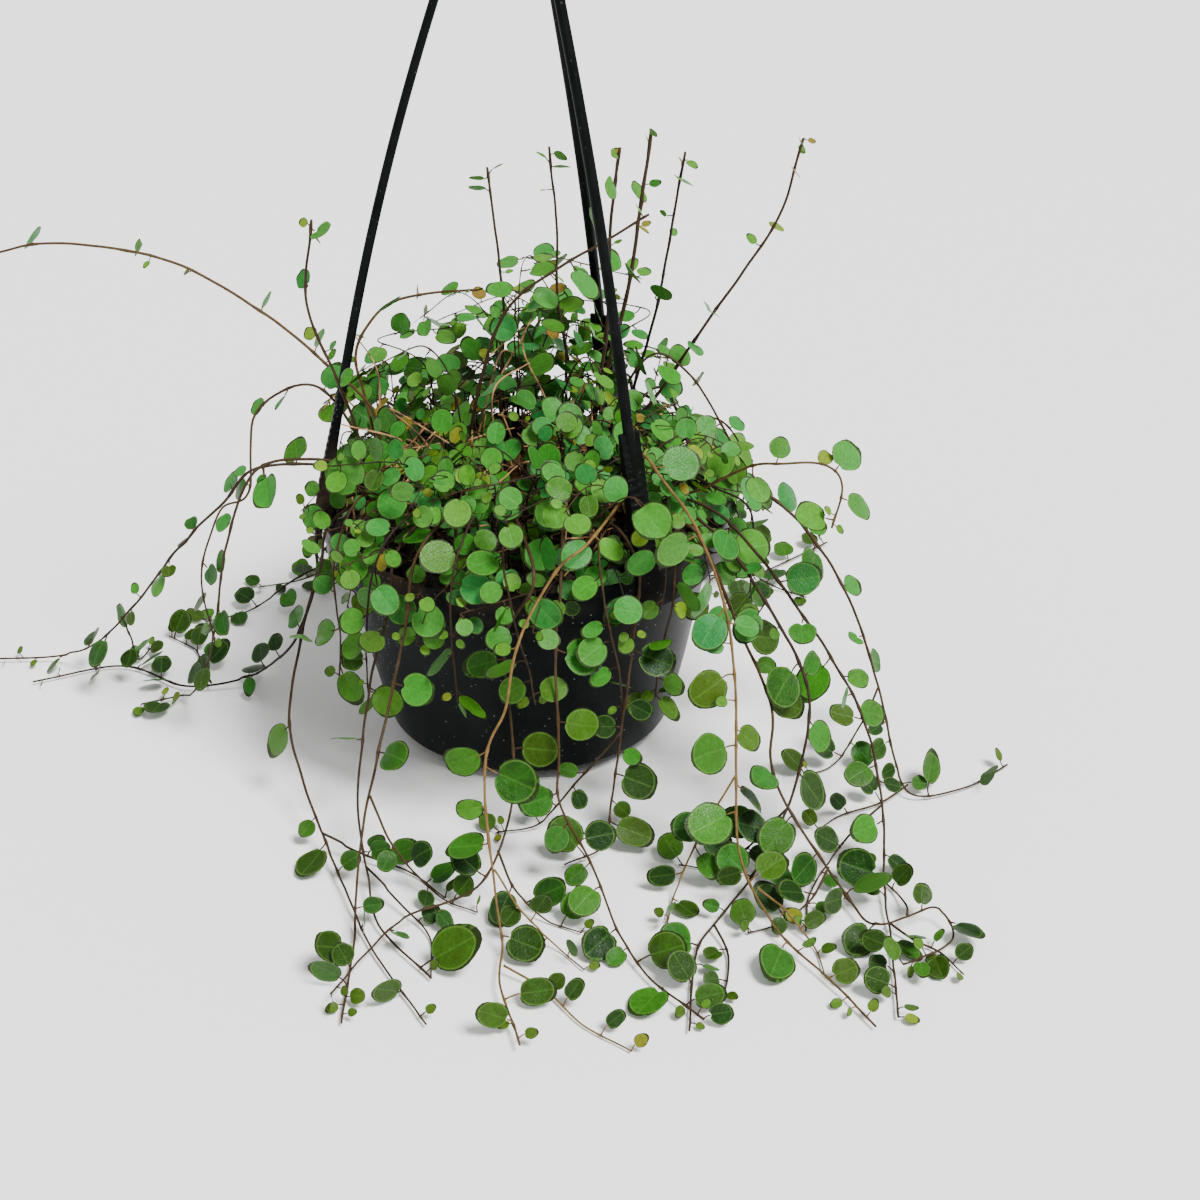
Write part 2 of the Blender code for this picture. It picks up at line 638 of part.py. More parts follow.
def crown_route(i, rng):
    """A short leafy shoot of the mound above the rim."""
    azimuth = GOLDEN_ANGLE * i + 30
    radius = 6 + 54 * math.sqrt((i + 0.5) / CROWN_SHOOTS)
    lean = 0.35 + radius / 70
    top = 186 - 0.4 * radius + CROWN_RISE * max(0.0, math.sin(math.radians(azimuth)))
    return [
        (azimuth, radius + 4, 140),
        (azimuth + rng.uniform(-14, 14), radius + 9 * lean, (140 + top) / 2 + 4),
        (azimuth + rng.uniform(-24, 24), radius + 20 * lean, top),
        (azimuth + rng.uniform(-34, 34), radius + 34 * lean, top - 5),
    ]


def side_route(line, share, rng):
    """A side shoot that leaves its stem part of the way up and leans away from it."""
    start = line.at(share)[0]
    turn = Matrix.Rotation(math.radians(rng.choice((-1, 1)) * rng.uniform(60, 150)), 3, "Z")
    away = turn @ Vector((start.x, start.y, 0)).normalized()
    reach = rng.uniform(34, 46) * MM
    middle = start + away * reach * 0.5 + Vector((0, 0, reach * 0.35))
    tip = start + away * reach + Vector((0, 0, reach * 0.35))
    return [start, middle, tip]


def all_stems():
    """Every stem of the plant with the share where it forks, in the order of placing."""
    rng = random.Random(SEED)
    stems = [(stem, None) for stem in LONG_STEMS]
    for i, azimuth in enumerate(TRAIL_AZIMUTHS):
        stem = Stem(f"trail_back_{i + 1}", trail_route(azimuth, rng), even_leaves(4, 0.22, 0.95, 16, rng))
        stems.append((stem, None))
    for i, azimuth in enumerate(CASCADE_AZIMUTHS):
        stem = Stem(f"cascade_{i + 1:02d}", cascade_route(azimuth, rng), even_leaves(4, 0.34, 0.97, 16, rng))
        stems.append((stem, None))
    for i in range(CROWN_SHOOTS):
        stem = Stem(f"crown_{i + 1:02d}", crown_route(i, rng), even_leaves(5, 0.26, 0.97, 12.5, rng))
        stems.append((stem, CROWN_FORK))
    return stems


class Shoot:
    """One length of stem: its bends, and where its leaves grow."""

    def __init__(self, points, buds, root=None):
        self.corners = fewer_points(smooth_line(points), STEM_SLACK)
        self.line = Line(self.corners)
        self.buds = buds
        self.root = root
        self.leaves = []

    def whole(self):
        """The corners with the straight end that stands in the soil."""
        return ([self.root] if self.root else []) + self.corners

    def clear_of(self, others):
        """Whether the stem touches nothing. If so, it keeps its tube for the tests that follow."""
        if min(point.z for point in self.corners) < STEM_RADIUS + FLOOR_CLEARANCE:
            return False
        proxy = tube_proxy(self.whole(), STEM_RADIUS + CLEARANCE)
        if any(proxy.overlap(other) for other in others):
            return False
        self.proxy = proxy
        return True


def floor_held(points):
    """Keeps what lies on the surface from dipping into it."""
    lowest = STEM_RADIUS + FLOOR_CLEARANCE + 0.4 * MM
    return [Vector((p.x, p.y, max(p.z, lowest))) for p in points]


def place_stem(stem, fork, roots, obstacles, taken):
    """The shoots of one stem, moved a little until they are clear of all that was placed before."""
    rng = random.Random(f"{SEED} {stem.name}")
    root = root_place(stem.route[0][0], min(stem.route[0][1], 78) - 4, roots)
    top = soil_height(root.x, root.y)
    start = Vector((root.x, root.y, top + STEM_START))
    foot = Vector((root.x, root.y, top - HOLE_DEPTH))
    for turn in range(STEM_TRIES):
        amount = 0.0 if turn == 0 else 1.5 + turn * 0.08
        route = [polar(*point) for point in jittered(stem.route, rng, amount)]
        main = Shoot([start, *floor_held(route)], stem.leaves, foot)
        if not main.clear_of(obstacles + taken):
            continue
        if fork is None:
            break
        side = Shoot(side_route(main.line, fork, rng), even_leaves(2, 0.55, 0.97, 12.5, rng))
        if side.clear_of(obstacles + taken):
            break
    else:
        raise ValueError(f"{stem.name} finds no clear way")
    roots.append(Vector((root.x, root.y, 0)))
    return [main] if fork is None else [main, side]


# Leaves


def blade_outline(corners):
    """A round blade on a short stalk along +X, with its stalk's root at the origin."""
    half = PETIOLE_WIDTH / 2
    root = PETIOLE_ROOT / 2
    outline = [(0.0, -root), (PETIOLE_LENGTH, -half)]
    centre = PETIOLE_LENGTH + BLADE_SIZE / 2
    for i in range(corners):
        angle = math.radians(-180 + 360 * (i + 1) / (corners + 1))
        outline.append((centre + math.cos(angle) * BLADE_LENGTH / 2, math.sin(angle) * BLADE_WIDTH / 2))
    return outline + [(PETIOLE_LENGTH, half), (0.0, root)]


def leaf_proxy(matrix, corners):
    """A thick flat stand-in for a leaf, a little larger than it is."""
    grown = 1.0 + 0.6 * MM / (BLADE_SIZE / 2)
    half = (BLADE_THICKNESS / 2 + CLEARANCE) * Vector((0, 0, 1))
    middle = Vector((PETIOLE_LENGTH + BLADE_SIZE / 2, 0, 0))
    flat = [Vector((x, y, 0)) for x, y in blade_outline(corners)[1:-1]]
    flat = [middle + (p - middle) * grown for p in flat]
    count = len(flat)
    verts = [matrix @ (p + half) for p in flat] + [matrix @ (p - half) for p in flat]
    faces = [tuple(range(count)), tuple(range(2 * count - 1, count - 1, -1))]
    faces += [(i, i + count, (i + 1) % count + count, (i + 1) % count) for i in range(count)]
    return BVHTree.FromPolygons(verts, faces), min(v.z for v in verts)


def leaf_frame(place, along, side, rng, play):
    """The leaf's axes: its stalk leaves the stem sideways, and its face turns to the light."""
    out = Vector((place.x, place.y, 0)).normalized()
    light = (out * LIGHT_OUT + Vector(LIGHT)).normalized()
    across = along.cross(light)
    across = across.normalized() * side if across.length > 0.1 else out.cross(Vector((0, 0, 1)))
    wobble = Vector((rng.gauss(0, 1), rng.gauss(0, 1), rng.gauss(0, 1)))
    stalk = (across + along * rng.uniform(0.1, 0.7) + wobble * 0.22 * play).normalized()
    wobble = Vector((rng.gauss(0, 1), rng.gauss(0, 1), rng.gauss(0, 1)))
    face = light + wobble * 0.3 * play
    face = (face - stalk * face.dot(stalk)).normalized()
    return Matrix((stalk, face.cross(stalk), face)).transposed()


def try_leaf(shoot, share, size, rng, play):
    """A leaf at a share of its stem, or nothing where it would reach into the surface."""
    place, along = shoot.line.at(abs(share))
    turn = leaf_frame(place, along, math.copysign(1, share), rng, play)
    scale = size * MM / BLADE_SIZE
    matrix = Matrix.Translation(place) @ turn.to_4x4() @ Matrix.Diagonal((scale, scale, 1, 1))
    corners = 5 if size > BIG_BLADE else 4
    proxy, lowest = leaf_proxy(matrix, corners)
    if lowest < FLOOR_CLEARANCE:
        return None
    centre = matrix @ Vector((PETIOLE_LENGTH + BLADE_SIZE / 2, 0, 0))
    return Leaf(matrix, corners, centre, 0.6 * size * MM, proxy)


def leaf_is_clear(leaf, placed, stems, obstacles):
    """Whether a leaf touches none of the leaves placed so far, no stem and nothing else."""
    for other in placed:
        near = (other.centre - leaf.centre).length < other.radius + leaf.radius
        if near and other.proxy.overlap(leaf.proxy):
            return False
    if any(leaf.proxy.overlap(stem) for stem in stems):
        return False
    return not any(leaf.proxy.overlap(other) for other in obstacles)


def grow_leaves(plants, obstacles):
    """Gives each shoot its leaves, each turned until it touches nothing."""
    stems = [shoot.proxy for _, shoots in plants for shoot in shoots]
    placed = []
    for name, shoots in plants:
        rng = random.Random(f"{SEED} leaves of {name}")
        for shoot in shoots:
            for share, size in shoot.buds:
                play = LOOSE_PLAY if rng.random() < LOOSE_SHARE else LEAF_PLAY
                for turn in range(LEAF_TRIES):
                    shrink = 1.0 - LEAF_SHRINK * turn / LEAF_TRIES
                    leaf = try_leaf(shoot, share, size * shrink, rng, play + turn * PLAY_STEP)
                    if leaf and leaf_is_clear(leaf, placed, stems, obstacles):
                        placed.append(leaf)
                        shoot.leaves.append(leaf)
                        break


# Solids of the stems


def section(collection):
    """The stem's cross-section, one unit in radius."""
    corners = [polar(360 * k / STEM_SIDES, 1, 0) / MM for k in range(STEM_SIDES)]
    return poly_curve("stem_section", [(c.x, c.y) for c in corners], collection, cyclic=True, flat=True)


def stem_solid(name, shoot, profile, collection, helper):
    """A closed tube along the stem, a little thinner at its tip."""
    points = shoot.whole()
    obj = poly_curve(name + "_line", points, collection)
    obj.data.bevel_mode = "OBJECT"
    obj.data.bevel_object = profile
    obj.data.use_fill_caps = True
    spline = obj.data.splines[0]
    for i, point in enumerate(spline.points):
        point.radius = STEM_RADIUS + (TIP_RADIUS - STEM_RADIUS) * i / (len(points) - 1)
    return curve_to_mesh(obj, name, collection, helper)


def make_leafy_stem(name, shoots, profile, blades, collection, helpers):
    """One solid of a stem, its side shoot and all their leaves."""
    obj = stem_solid(name, shoots[0], profile, collection, helper=False)
    for shoot in shoots[1:]:
        stem_solid(name + "_side", shoot, profile, helpers, helper=True)
    for shoot in shoots:
        for leaf in shoot.leaves:
            blade = add_object(name + "_leaf", blades[leaf.corners], helpers, helper=True)
            blade.matrix_world = leaf.matrix
    combine(obj, helpers, "UNION")
    return obj


def plant_all(obstacles):
    """Every stem with its shoots placed and its leaves grown, and the places of the roots."""
    plants, roots, taken = [], [], []
    for stem, fork in all_stems():
        shoots = place_stem(stem, fork, roots, obstacles, taken)
        taken += [shoot.proxy for shoot in shoots]
        plants.append((stem.name, shoots))
    mound = [(0.0, SOIL_EDGE_HEIGHT + SOIL_CROWN + 2 * MM), (95 * MM, SOIL_EDGE_HEIGHT + 3 * MM)]
    grow_leaves(plants, [*obstacles, turned_proxy(mound)])
    return plants, roots


def pot_obstacle():
    """The pot's rim and outer side for clearance tests, 1 mm larger than they are."""
    outside = [(radius + MM, height) for radius, height in pot_outside()]
    lip = [(RIM_RADIUS - 3 * MM, POT_HEIGHT - 10 * MM), (RIM_RADIUS - 3 * MM, POT_HEIGHT + MM)]
    return turned_proxy([*lip, (RIM_RADIUS + MM, POT_HEIGHT + MM), *outside])


def main():
    clear_scene()
    parts = new_collection("wire_vine")
    cutters = new_collection("cutters", hidden=True)
    helpers = new_collection("repeats", hidden=True)
    guides = new_collection("guides", hidden=True)
    plants, roots = plant_all([pot_obstacle(), *hanger_proxies()])

    pot = make_pot(parts, cutters)
    pot.data.materials.append(plain_material("pot_plastic", (0.012, 0.016, 0.02), 0.4))
    soil = make_soil(parts, cutters, roots)
    soil.data.materials.append(plain_material("potting_soil", (0.05, 0.03, 0.018), 0.95))
    hanger = make_hanger(parts, helpers)
    hanger.data.materials.append(plain_material("hanger_plastic", (0.008, 0.008, 0.009), 0.35))

    profile = section(guides)
    blades = {n: plate(f"blade_{n}", blade_outline(n), BLADE_THICKNESS, guides).data for n in (4, 5)}
    grown = plain_material("vine_green", (0.09, 0.28, 0.04), 0.5)
    young = plain_material("vine_young", (0.27, 0.33, 0.05), 0.5)
    for name, shoots in plants:
        vine = make_leafy_stem(name, shoots, profile, blades, parts, helpers)
        vine.data.materials.clear()
        vine.data.materials.append(young if name in YOUNG_STEMS else grown)


main()
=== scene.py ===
"""Looks of a wire vine that grows in a black hanging pot and trails over the surface around it.

The frame holds the plain solids. Each gets a finer piece in its place: a moulded pot and hanger,
crumbly soil, and for every leafy stem a round wiry stem with cupped leaves where the solid has its
leaves. What is too small for the solids is added: more crown shoots, fine side shoots on the
surface, tiny leaves, dry twigs and litter.

Lengths are in metres. The route of a stem is given as (azimuth in degrees, radius in mm, height in
mm) round the pot's axis, and the origin is the centre of the pot's base.
"""

import logging
import math
import random
from dataclasses import dataclass, field
from enum import Enum
from typing import Callable, NamedTuple, Sequence

import bpy
from mathutils import Matrix, Vector, noise
from mathutils.bvhtree import BVHTree
from mathutils.kdtree import KDTree


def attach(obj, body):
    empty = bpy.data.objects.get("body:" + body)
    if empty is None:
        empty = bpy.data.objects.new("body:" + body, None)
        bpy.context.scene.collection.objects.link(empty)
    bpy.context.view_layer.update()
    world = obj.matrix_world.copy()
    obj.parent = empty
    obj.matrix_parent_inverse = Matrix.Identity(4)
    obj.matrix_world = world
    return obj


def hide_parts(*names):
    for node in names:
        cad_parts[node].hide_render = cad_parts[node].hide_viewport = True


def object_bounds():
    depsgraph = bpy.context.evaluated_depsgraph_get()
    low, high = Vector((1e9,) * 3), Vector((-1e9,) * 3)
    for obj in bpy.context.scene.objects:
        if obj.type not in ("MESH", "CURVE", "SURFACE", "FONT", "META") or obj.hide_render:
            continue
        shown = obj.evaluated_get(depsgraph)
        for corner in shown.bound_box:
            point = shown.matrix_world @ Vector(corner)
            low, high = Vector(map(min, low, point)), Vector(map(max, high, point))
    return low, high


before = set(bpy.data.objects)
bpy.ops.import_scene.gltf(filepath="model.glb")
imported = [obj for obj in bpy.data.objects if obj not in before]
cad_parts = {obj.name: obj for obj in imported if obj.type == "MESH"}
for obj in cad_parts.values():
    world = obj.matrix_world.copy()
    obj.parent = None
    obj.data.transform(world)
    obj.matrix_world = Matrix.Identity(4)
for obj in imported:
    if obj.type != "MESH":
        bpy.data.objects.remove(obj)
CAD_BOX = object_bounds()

LOG = logging.getLogger("wire_vine")

MM = 0.001
GAP = 0.3 * MM
SEED = 11
BODY = "root"
UV_NAME = "growth"
UP = Vector((0, 0, 1))

# The numbers of the sockets of a Mix node that mixes colours
UNDER, OVER, MIXED = 6, 7, 2

Piece = bpy.types.Object
Material = bpy.types.Material
Chance = random.Random
Route = list[tuple[float, float, float]]
Buds = list[tuple[float, float]]


class Habit(Enum):
    """How a stem grows. The value is the first word of its name."""

    WHIP = "whip"
    DROP = "drop"
    TRAIL = "trail"
    ARCH = "arch"
    CASCADE = "cascade"
    CROWN = "crown"


class Stem(NamedTuple):
    """The plan of one stem: its route, and its leaves as (share of length, size in mm) by side."""

    name: str
    route: Route
    leaves: Buds


class Facing(NamedTuple):
    """Which way leaves face: off the pot's axis, along Y and up, as shares of one direction."""

    out: float
    along_y: float
    up: float


class Leaf(NamedTuple):
    """One placed leaf, with the thick flat stand-in that keeps others off it."""

    matrix: Matrix
    centre: Vector
    radius: float
    proxy: BVHTree
    size: float
    share: float


# The long stems. A route starts where the stem leaves the crown. A negative share puts a leaf on
# the stem's other side.
LONG_STEMS = (
    Stem("whip_left", [(172, 74, 159), (174, 96, 186), (171, 124, 206), (167, 174, 226),
          (165, 235, 228), (165, 272, 220), (165, 292, 210)],
         [(0.30, 10), (0.41, 9), (-0.55, 8), (0.66, 9), (0.86, 14)]),
    Stem("whip_left_upright", [(190, 80, 160), (194, 88, 190), (192, 99, 227), (192, 94, 266)],
         [(0.50, 10), (-0.65, 9), (-0.80, 9), (0.97, 11)]),
    Stem("whip_left_inward", [(161, 84, 160), (160, 88, 184), (156, 75, 206), (148, 57, 213),
          (129, 36, 216)],
         [(0.40, 12), (-0.55, 10), (0.72, 14), (-0.80, 9), (0.92, 8)]),
    Stem("drop_left_a", [(180, 78, 152), (186, 96, 166), (185, 124, 165), (188, 146, 146),
          (191, 159, 120), (194, 163, 92), (198, 158, 66)],
         [(0.18, 15), (0.30, 13), (-0.38, 9), (0.44, 9), (0.61, 11), (-0.82, 12), (0.90, 10)]),
    Stem("drop_left_b", [(202, 84, 148), (201, 108, 157), (200, 130, 154), (200, 148, 122),
          (196, 155, 80), (188, 163, 38), (182, 172, 12), (179, 184, 4), (181, 200, 3)],
         [(-0.29, 17), (0.40, 10), (0.51, 11), (-0.58, 12), (0.66, 11), (-0.76, 12), (0.86, 12),
          (-0.96, 14)]),
    Stem("trail_left_far", [(196, 88, 146), (194, 126, 151), (191, 144, 130), (184, 172, 96),
          (179, 196, 60), (175, 228, 26), (171, 256, 6), (172, 290, 3)],
         [(0.18, 14), (0.30, 11), (0.44, 13), (-0.53, 12), (-0.73, 15), (0.80, 12), (-0.88, 10)]),
    Stem("trail_left_near", [(205, 80, 138), (204, 104, 130), (198, 106, 92), (194, 118, 55),
          (180, 136, 22), (175, 152, 8), (176, 182, 4), (171, 222, 3), (176, 264, 3)],
         [(0.20, 13), (0.38, 12), (0.62, 13), (0.69, 14), (-0.75, 12), (0.83, 13), (-0.90, 12)]),
    Stem("trail_front_left", [(212, 80, 140), (209, 102, 130), (208, 108, 108), (211, 121, 82),
          (217, 138, 45), (224, 144, 22), (236, 160, 9), (246, 184, 5), (253, 210, 3),
          (262, 250, 3)],
         [(0.14, 15), (-0.32, 12), (0.44, 17), (0.63, 17), (-0.80, 13), (0.94, 19)]),
    Stem("trail_front_a", [(238, 78, 142), (237, 102, 132), (236, 107, 108), (232, 113, 70),
          (235, 128, 46), (240, 148, 24), (247, 172, 9), (252, 195, 4), (261, 222, 3)],
         [(0.15, 15), (-0.26, 14), (0.39, 13), (0.52, 14), (-0.71, 11), (0.82, 15), (-0.97, 22)]),
    Stem("trail_front_b", [(246, 78, 146), (245, 104, 134), (243, 112, 106), (240, 124, 66),
          (244, 156, 32), (248, 186, 10), (250, 208, 4), (254, 256, 3)],
         [(0.14, 15), (-0.28, 15), (-0.41, 15), (-0.52, 16), (0.85, 19), (0.92, 14)]),
    Stem("trail_front_c", [(272, 80, 142), (271, 104, 130), (270, 110, 92), (268, 118, 56),
          (267, 142, 24), (263, 165, 8), (257, 194, 4), (253, 220, 3), (253, 252, 3)],
         [(0.13, 16), (-0.26, 16), (0.38, 15), (-0.51, 17), (0.71, 14), (0.95, 13)]),
    Stem("arch_golden", [(305, 70, 140), (308, 85, 152), (289, 104, 150), (278, 116, 134),
          (269, 128, 108), (266, 137, 88), (265, 154, 62), (266, 185, 30), (267, 206, 11),
          (269, 228, 4), (271, 256, 3)],
         [(0.12, 20), (-0.22, 14), (0.30, 15), (0.56, 17), (-0.58, 19), (0.63, 12), (0.68, 17),
          (-0.80, 16), (-0.91, 15), (0.96, 14)]),
    Stem("arch_tan", [(309, 68, 156), (309, 84, 172), (309, 100, 166), (312, 118, 146),
          (314, 134, 117), (311, 150, 86), (306, 168, 52), (301, 188, 20), (300, 222, 5),
          (301, 258, 3), (301, 292, 3)],
         [(0.08, 16), (-0.20, 17), (0.30, 18), (0.40, 17), (-0.42, 12), (0.48, 18), (-0.55, 12),
          (0.57, 19), (-0.62, 15), (0.65, 20), (0.73, 11), (-0.74, 14), (0.83, 21), (-0.91, 11)]),
    Stem("arch_right", [(334, 76, 132), (334, 96, 146), (334, 116, 160), (332, 134, 167),
          (334, 152, 168), (335, 160, 158), (331, 160, 142)],
         [(0.16, 15), (-0.35, 14), (0.50, 13), (-0.80, 15), (-0.89, 14), (0.97, 16)]),
    Stem("trail_right_a", [(330, 78, 138), (329, 104, 138), (328, 128, 123), (331, 152, 90),
          (331, 174, 62), (328, 192, 38), (323, 208, 16), (315, 230, 5), (309, 256, 3),
          (303, 290, 3)],
         [(0.18, 16), (-0.28, 16), (0.34, 13), (0.41, 19), (0.47, 11), (-0.49, 13), (0.57, 14),
          (0.65, 16), (-0.70, 13), (0.74, 17), (-0.86, 15), (0.88, 12), (0.95, 12)]),
    Stem("trail_right_b", [(2, 78, 140), (0, 104, 130), (356, 134, 110), (353, 160, 73),
          (347, 178, 34), (339, 192, 11), (335, 206, 4), (340, 228, 3), (346, 244, 3)],
         [(0.14, 17), (-0.25, 16), (0.35, 19), (-0.43, 13), (-0.56, 12), (0.70, 12), (-0.83, 16),
          (0.93, 13)]),
    Stem("trail_right_c", [(326, 80, 138), (326, 108, 130), (324, 138, 106), (323, 164, 70),
          (316, 175, 36), (307, 184, 13), (298, 197, 5), (291, 216, 3), (286, 262, 3)],
         [(-0.20, 18), (0.29, 18), (0.38, 20), (-0.46, 15), (-0.53, 19), (0.62, 16), (-0.66, 14),
          (0.70, 15), (0.84, 16), (0.92, 15)]),
    Stem("trail_right_d", [(318, 78, 140), (318, 108, 128), (320, 134, 96), (319, 156, 64),
          (313, 180, 30), (309, 210, 9), (310, 236, 4), (314, 256, 4), (313, 270, 4),
          (307, 272, 4)],
         [(0.22, 18), (-0.32, 18), (-0.42, 18), (0.52, 18), (0.58, 18), (0.64, 15), (-0.70, 17),
          (0.71, 15), (0.77, 17), (-0.88, 16), (-0.95, 14)]),
    Stem("trail_front_d", [(283, 80, 140), (282, 104, 130), (279, 110, 92), (276, 122, 60),
          (276, 142, 34), (281, 166, 12), (284, 198, 5), (285, 230, 3), (288, 264, 3)],
         [(0.14, 16), (-0.32, 17), (-0.43, 16), (0.54, 15), (-0.62, 14), (0.70, 15), (0.78, 16),
          (-0.85, 17), (0.91, 18), (-0.96, 13)]),
    Stem("trail_front_e", [(300, 82, 140), (300, 106, 130), (298, 108, 90), (293, 116, 50),
          (289, 126, 20), (286, 136, 6), (278, 142, 3)],
         [(0.33, 16), (-0.46, 17), (0.54, 15), (-0.74, 17), (-0.85, 18), (0.95, 17)]),
    Stem("whip_right_tall", [(29, 50, 140), (25, 68, 158), (20, 92, 196), (16, 108, 224),
          (14, 124, 252), (14, 134, 288)],
         [(0.22, 13), (0.34, 12), (-0.43, 12), (-0.52, 12), (0.77, 9), (-0.92, 8)]),
    Stem("whip_back_left", [(109, 42, 160), (105, 41, 196), (108, 42, 232), (113, 44, 272)],
         [(0.30, 11), (-0.60, 9), (0.93, 8)]),
    Stem("whip_back", [(69, 62, 150), (76, 62, 199), (76, 62, 235), (79, 61, 276)],
         [(-0.30, 12), (0.60, 10), (-0.94, 8)]),
    Stem("whip_middle", [(16, 34, 150), (14, 41, 210), (14, 42, 251), (13, 46, 290)],
         [(0.25, 13), (-0.45, 13), (0.64, 13), (-0.90, 11)]),
    Stem("whip_woody", [(42, 44, 147), (32, 57, 210), (29, 62, 250), (27, 67, 292)],
         [(-0.35, 12), (-0.59, 13), (0.80, 11)]),
    Stem("whip_back_right", [(44, 72, 150), (38, 81, 198), (36, 86, 233), (34, 92, 276)],
         [(0.30, 12), (-0.55, 12), (-0.93, 11)]),
    Stem("whip_inward", [(180, 26, 155), (180, 10, 212), (0, 16, 236), (0, 36, 248), (0, 58, 262)],
         [(0.30, 13), (-0.45, 13), (0.62, 13), (0.76, 16), (-0.86, 13)]),
    Stem("arch_crown_right", [(24, 48, 160), (18, 66, 186), (13, 84, 176), (6, 98, 150),
          (0, 106, 130)],
         [(0.20, 14), (-0.40, 14), (0.52, 13), (-0.65, 11), (0.80, 14), (-0.95, 14)]),
)
CASCADE_AZIMUTHS = (222, 236, 255, 266, 290, 310, 340, 14, 95, 132)
TRAIL_AZIMUTHS = (48, 62, 78, 95, 112, 128, 142)
CROWN_SHOOTS = 12
CROWN_FORK = 0.4
CROWN_RISE = 20
GOLDEN_ANGLE = 137.5
# The crown is bare between two azimuths at the left, and thin round another at the back right
BARE_SIDE = (163, 214)
OPEN_SIDE = 45
YOUNG_STEMS = {"arch_golden": 1.0, "arch_tan": 0.85, "arch_right": 0.5, "trail_right_d": 0.25,
               "whip_left": 0.45, "whip_left_inward": 0.55}
# One fine shoot that covers the foot of the front clip
CLIP_COVER = ((292, 72, 130), (294, 92, 150), (298, 106, 161), (303, 112, 150), (306, 114, 128),
              (305, 113, 104))
CLIP_COVER_BUDS = ((-0.34, 12), (0.46, 19), (-0.6, 14), (0.72, 14), (-0.84, 13), (0.95, 9))

# Stems and leaves as the solids have them
STEM_RADIUS = 1.3 * MM
BLADE_THICKNESS = 0.8 * MM
BLADE_SIZE = 18 * MM
BLADE_LENGTH = 19.4 * MM
BLADE_WIDTH = 19.1 * MM
BIG_BLADE = 17
PETIOLE_LENGTH = 4 * MM
PETIOLE_WIDTH = 1.1 * MM
BLADE_MIDDLE = PETIOLE_LENGTH + BLADE_SIZE / 2
STEM_SLACK = 3.2 * MM
CLEARANCE = 0.35 * MM
FLOOR_CLEARANCE = 0.5 * MM
LOWEST_STEM = STEM_RADIUS + FLOOR_CLEARANCE + 0.4 * MM
ROOT_SPACING = 7.5 * MM
HOLE_DEPTH = 12 * MM
STEM_START = 2 * MM
STEM_TRIES = 200
LEAF_TRIES = 60
LEAF_SHRINK = 0.4
LEAF_PLAY = 0.5
LOOSE_PLAY = 2.0
LOOSE_SHARE = 0.35
PLAY_STEP = 0.06


def polar(azimuth: float, radius: float, height: float) -> Vector:
    """Finds a point round the pot's axis.

    Args:
        azimuth: degrees round the axis from +X.
        radius: mm from the axis.
        height: mm above the base.

    Returns:
        The point in metres.
    """
    angle = math.radians(azimuth)
    return Vector((radius * math.cos(angle), radius * math.sin(angle), height)) * MM


def scatter(rng: Chance) -> Vector:
    """A chance vector that points any way, about as long as 1."""
    return Vector((rng.gauss(0, 1), rng.gauss(0, 1), rng.gauss(0, 1)))


# Modelling by operators


def deselect_all() -> None:
    """Leaves nothing selected, so that an operator acts only on what is selected next."""
    if bpy.context.object and bpy.context.object.mode != "OBJECT":
        bpy.ops.object.mode_set(mode="OBJECT")
    bpy.ops.object.select_all(action="DESELECT")


def activate(piece: Piece, others: Sequence[Piece] = ()) -> None:
    """Selects some objects and makes the first of them the active one.

    Args:
        piece: the active one.
        others: what is selected with it.
    """
    deselect_all()
    for obj in (piece, *others):
        obj.select_set(True)
    bpy.context.view_layer.objects.active = piece


def settle(piece: Piece) -> None:
    """Moves an object's place, turn and scale into its mesh."""
    activate(piece)
    bpy.ops.object.transform_apply(location=True, rotation=True, scale=True)


def apply_modifier(piece: Piece, kind: str, **settings: object) -> None:
    """Adds a modifier and applies it at once.

    Args:
        piece: the object.
        kind: the modifier's type.
        settings: its properties.
    """
    activate(piece)
    modifier = piece.modifiers.new(kind.lower(), kind)
    for name, value in settings.items():
        setattr(modifier, name, value)
    bpy.ops.object.modifier_apply(modifier=modifier.name)


def round_edges(piece: Piece, radius: float, degrees: float) -> None:
    """Rounds a piece's edges where they turn more than an angle."""
    apply_modifier(piece, "BEVEL", width=radius, segments=3, limit_method="ANGLE",
                   angle_limit=math.radians(degrees))


def fuse(pieces: Sequence[Piece], name: str) -> Piece:
    """Joins objects into the first of them.

    Args:
        pieces: the objects, of which only the first is kept.
        name: the name of the joined piece.

    Returns:
        The joined object.
    """
    activate(pieces[0], pieces[1:])
    if len(pieces) > 1:
        bpy.ops.object.join()
    pieces[0].name = pieces[0].data.name = name
    return pieces[0]


def select_vertices(piece: Piece, chosen: Callable[[Vector], bool]) -> None:
    """Enters edit mode with only some vertices selected.

    Args:
        piece: the object.
        chosen: tells by a vertex's place whether it is selected.
    """
    activate(piece)
    bpy.context.tool_settings.mesh_select_mode = (True, False, False)
    mesh = piece.data
    mesh.edges.foreach_set("select", [False] * len(mesh.edges))
    mesh.polygons.foreach_set("select", [False] * len(mesh.polygons))
    mesh.vertices.foreach_set("select", [chosen(vertex.co) for vertex in mesh.vertices])
    bpy.ops.object.mode_set(mode="EDIT")


def drag(piece: Piece, chosen: Callable[[Vector], bool], move: Sequence[float],
         reach: float) -> None:
    """Drags some vertices, and what lies within reach of them follows softly.

    Args:
        piece: the object to shape.
        chosen: tells by a vertex's place whether it is dragged.
        move: how far, along X, Y and Z.
        reach: how far away a vertex still follows.
    """
    select_vertices(piece, chosen)
    bpy.ops.transform.translate(
        value=move, use_proportional_edit=True, proportional_edit_falloff="SMOOTH",
        proportional_size=reach,
    )
    bpy.ops.object.mode_set(mode="OBJECT")


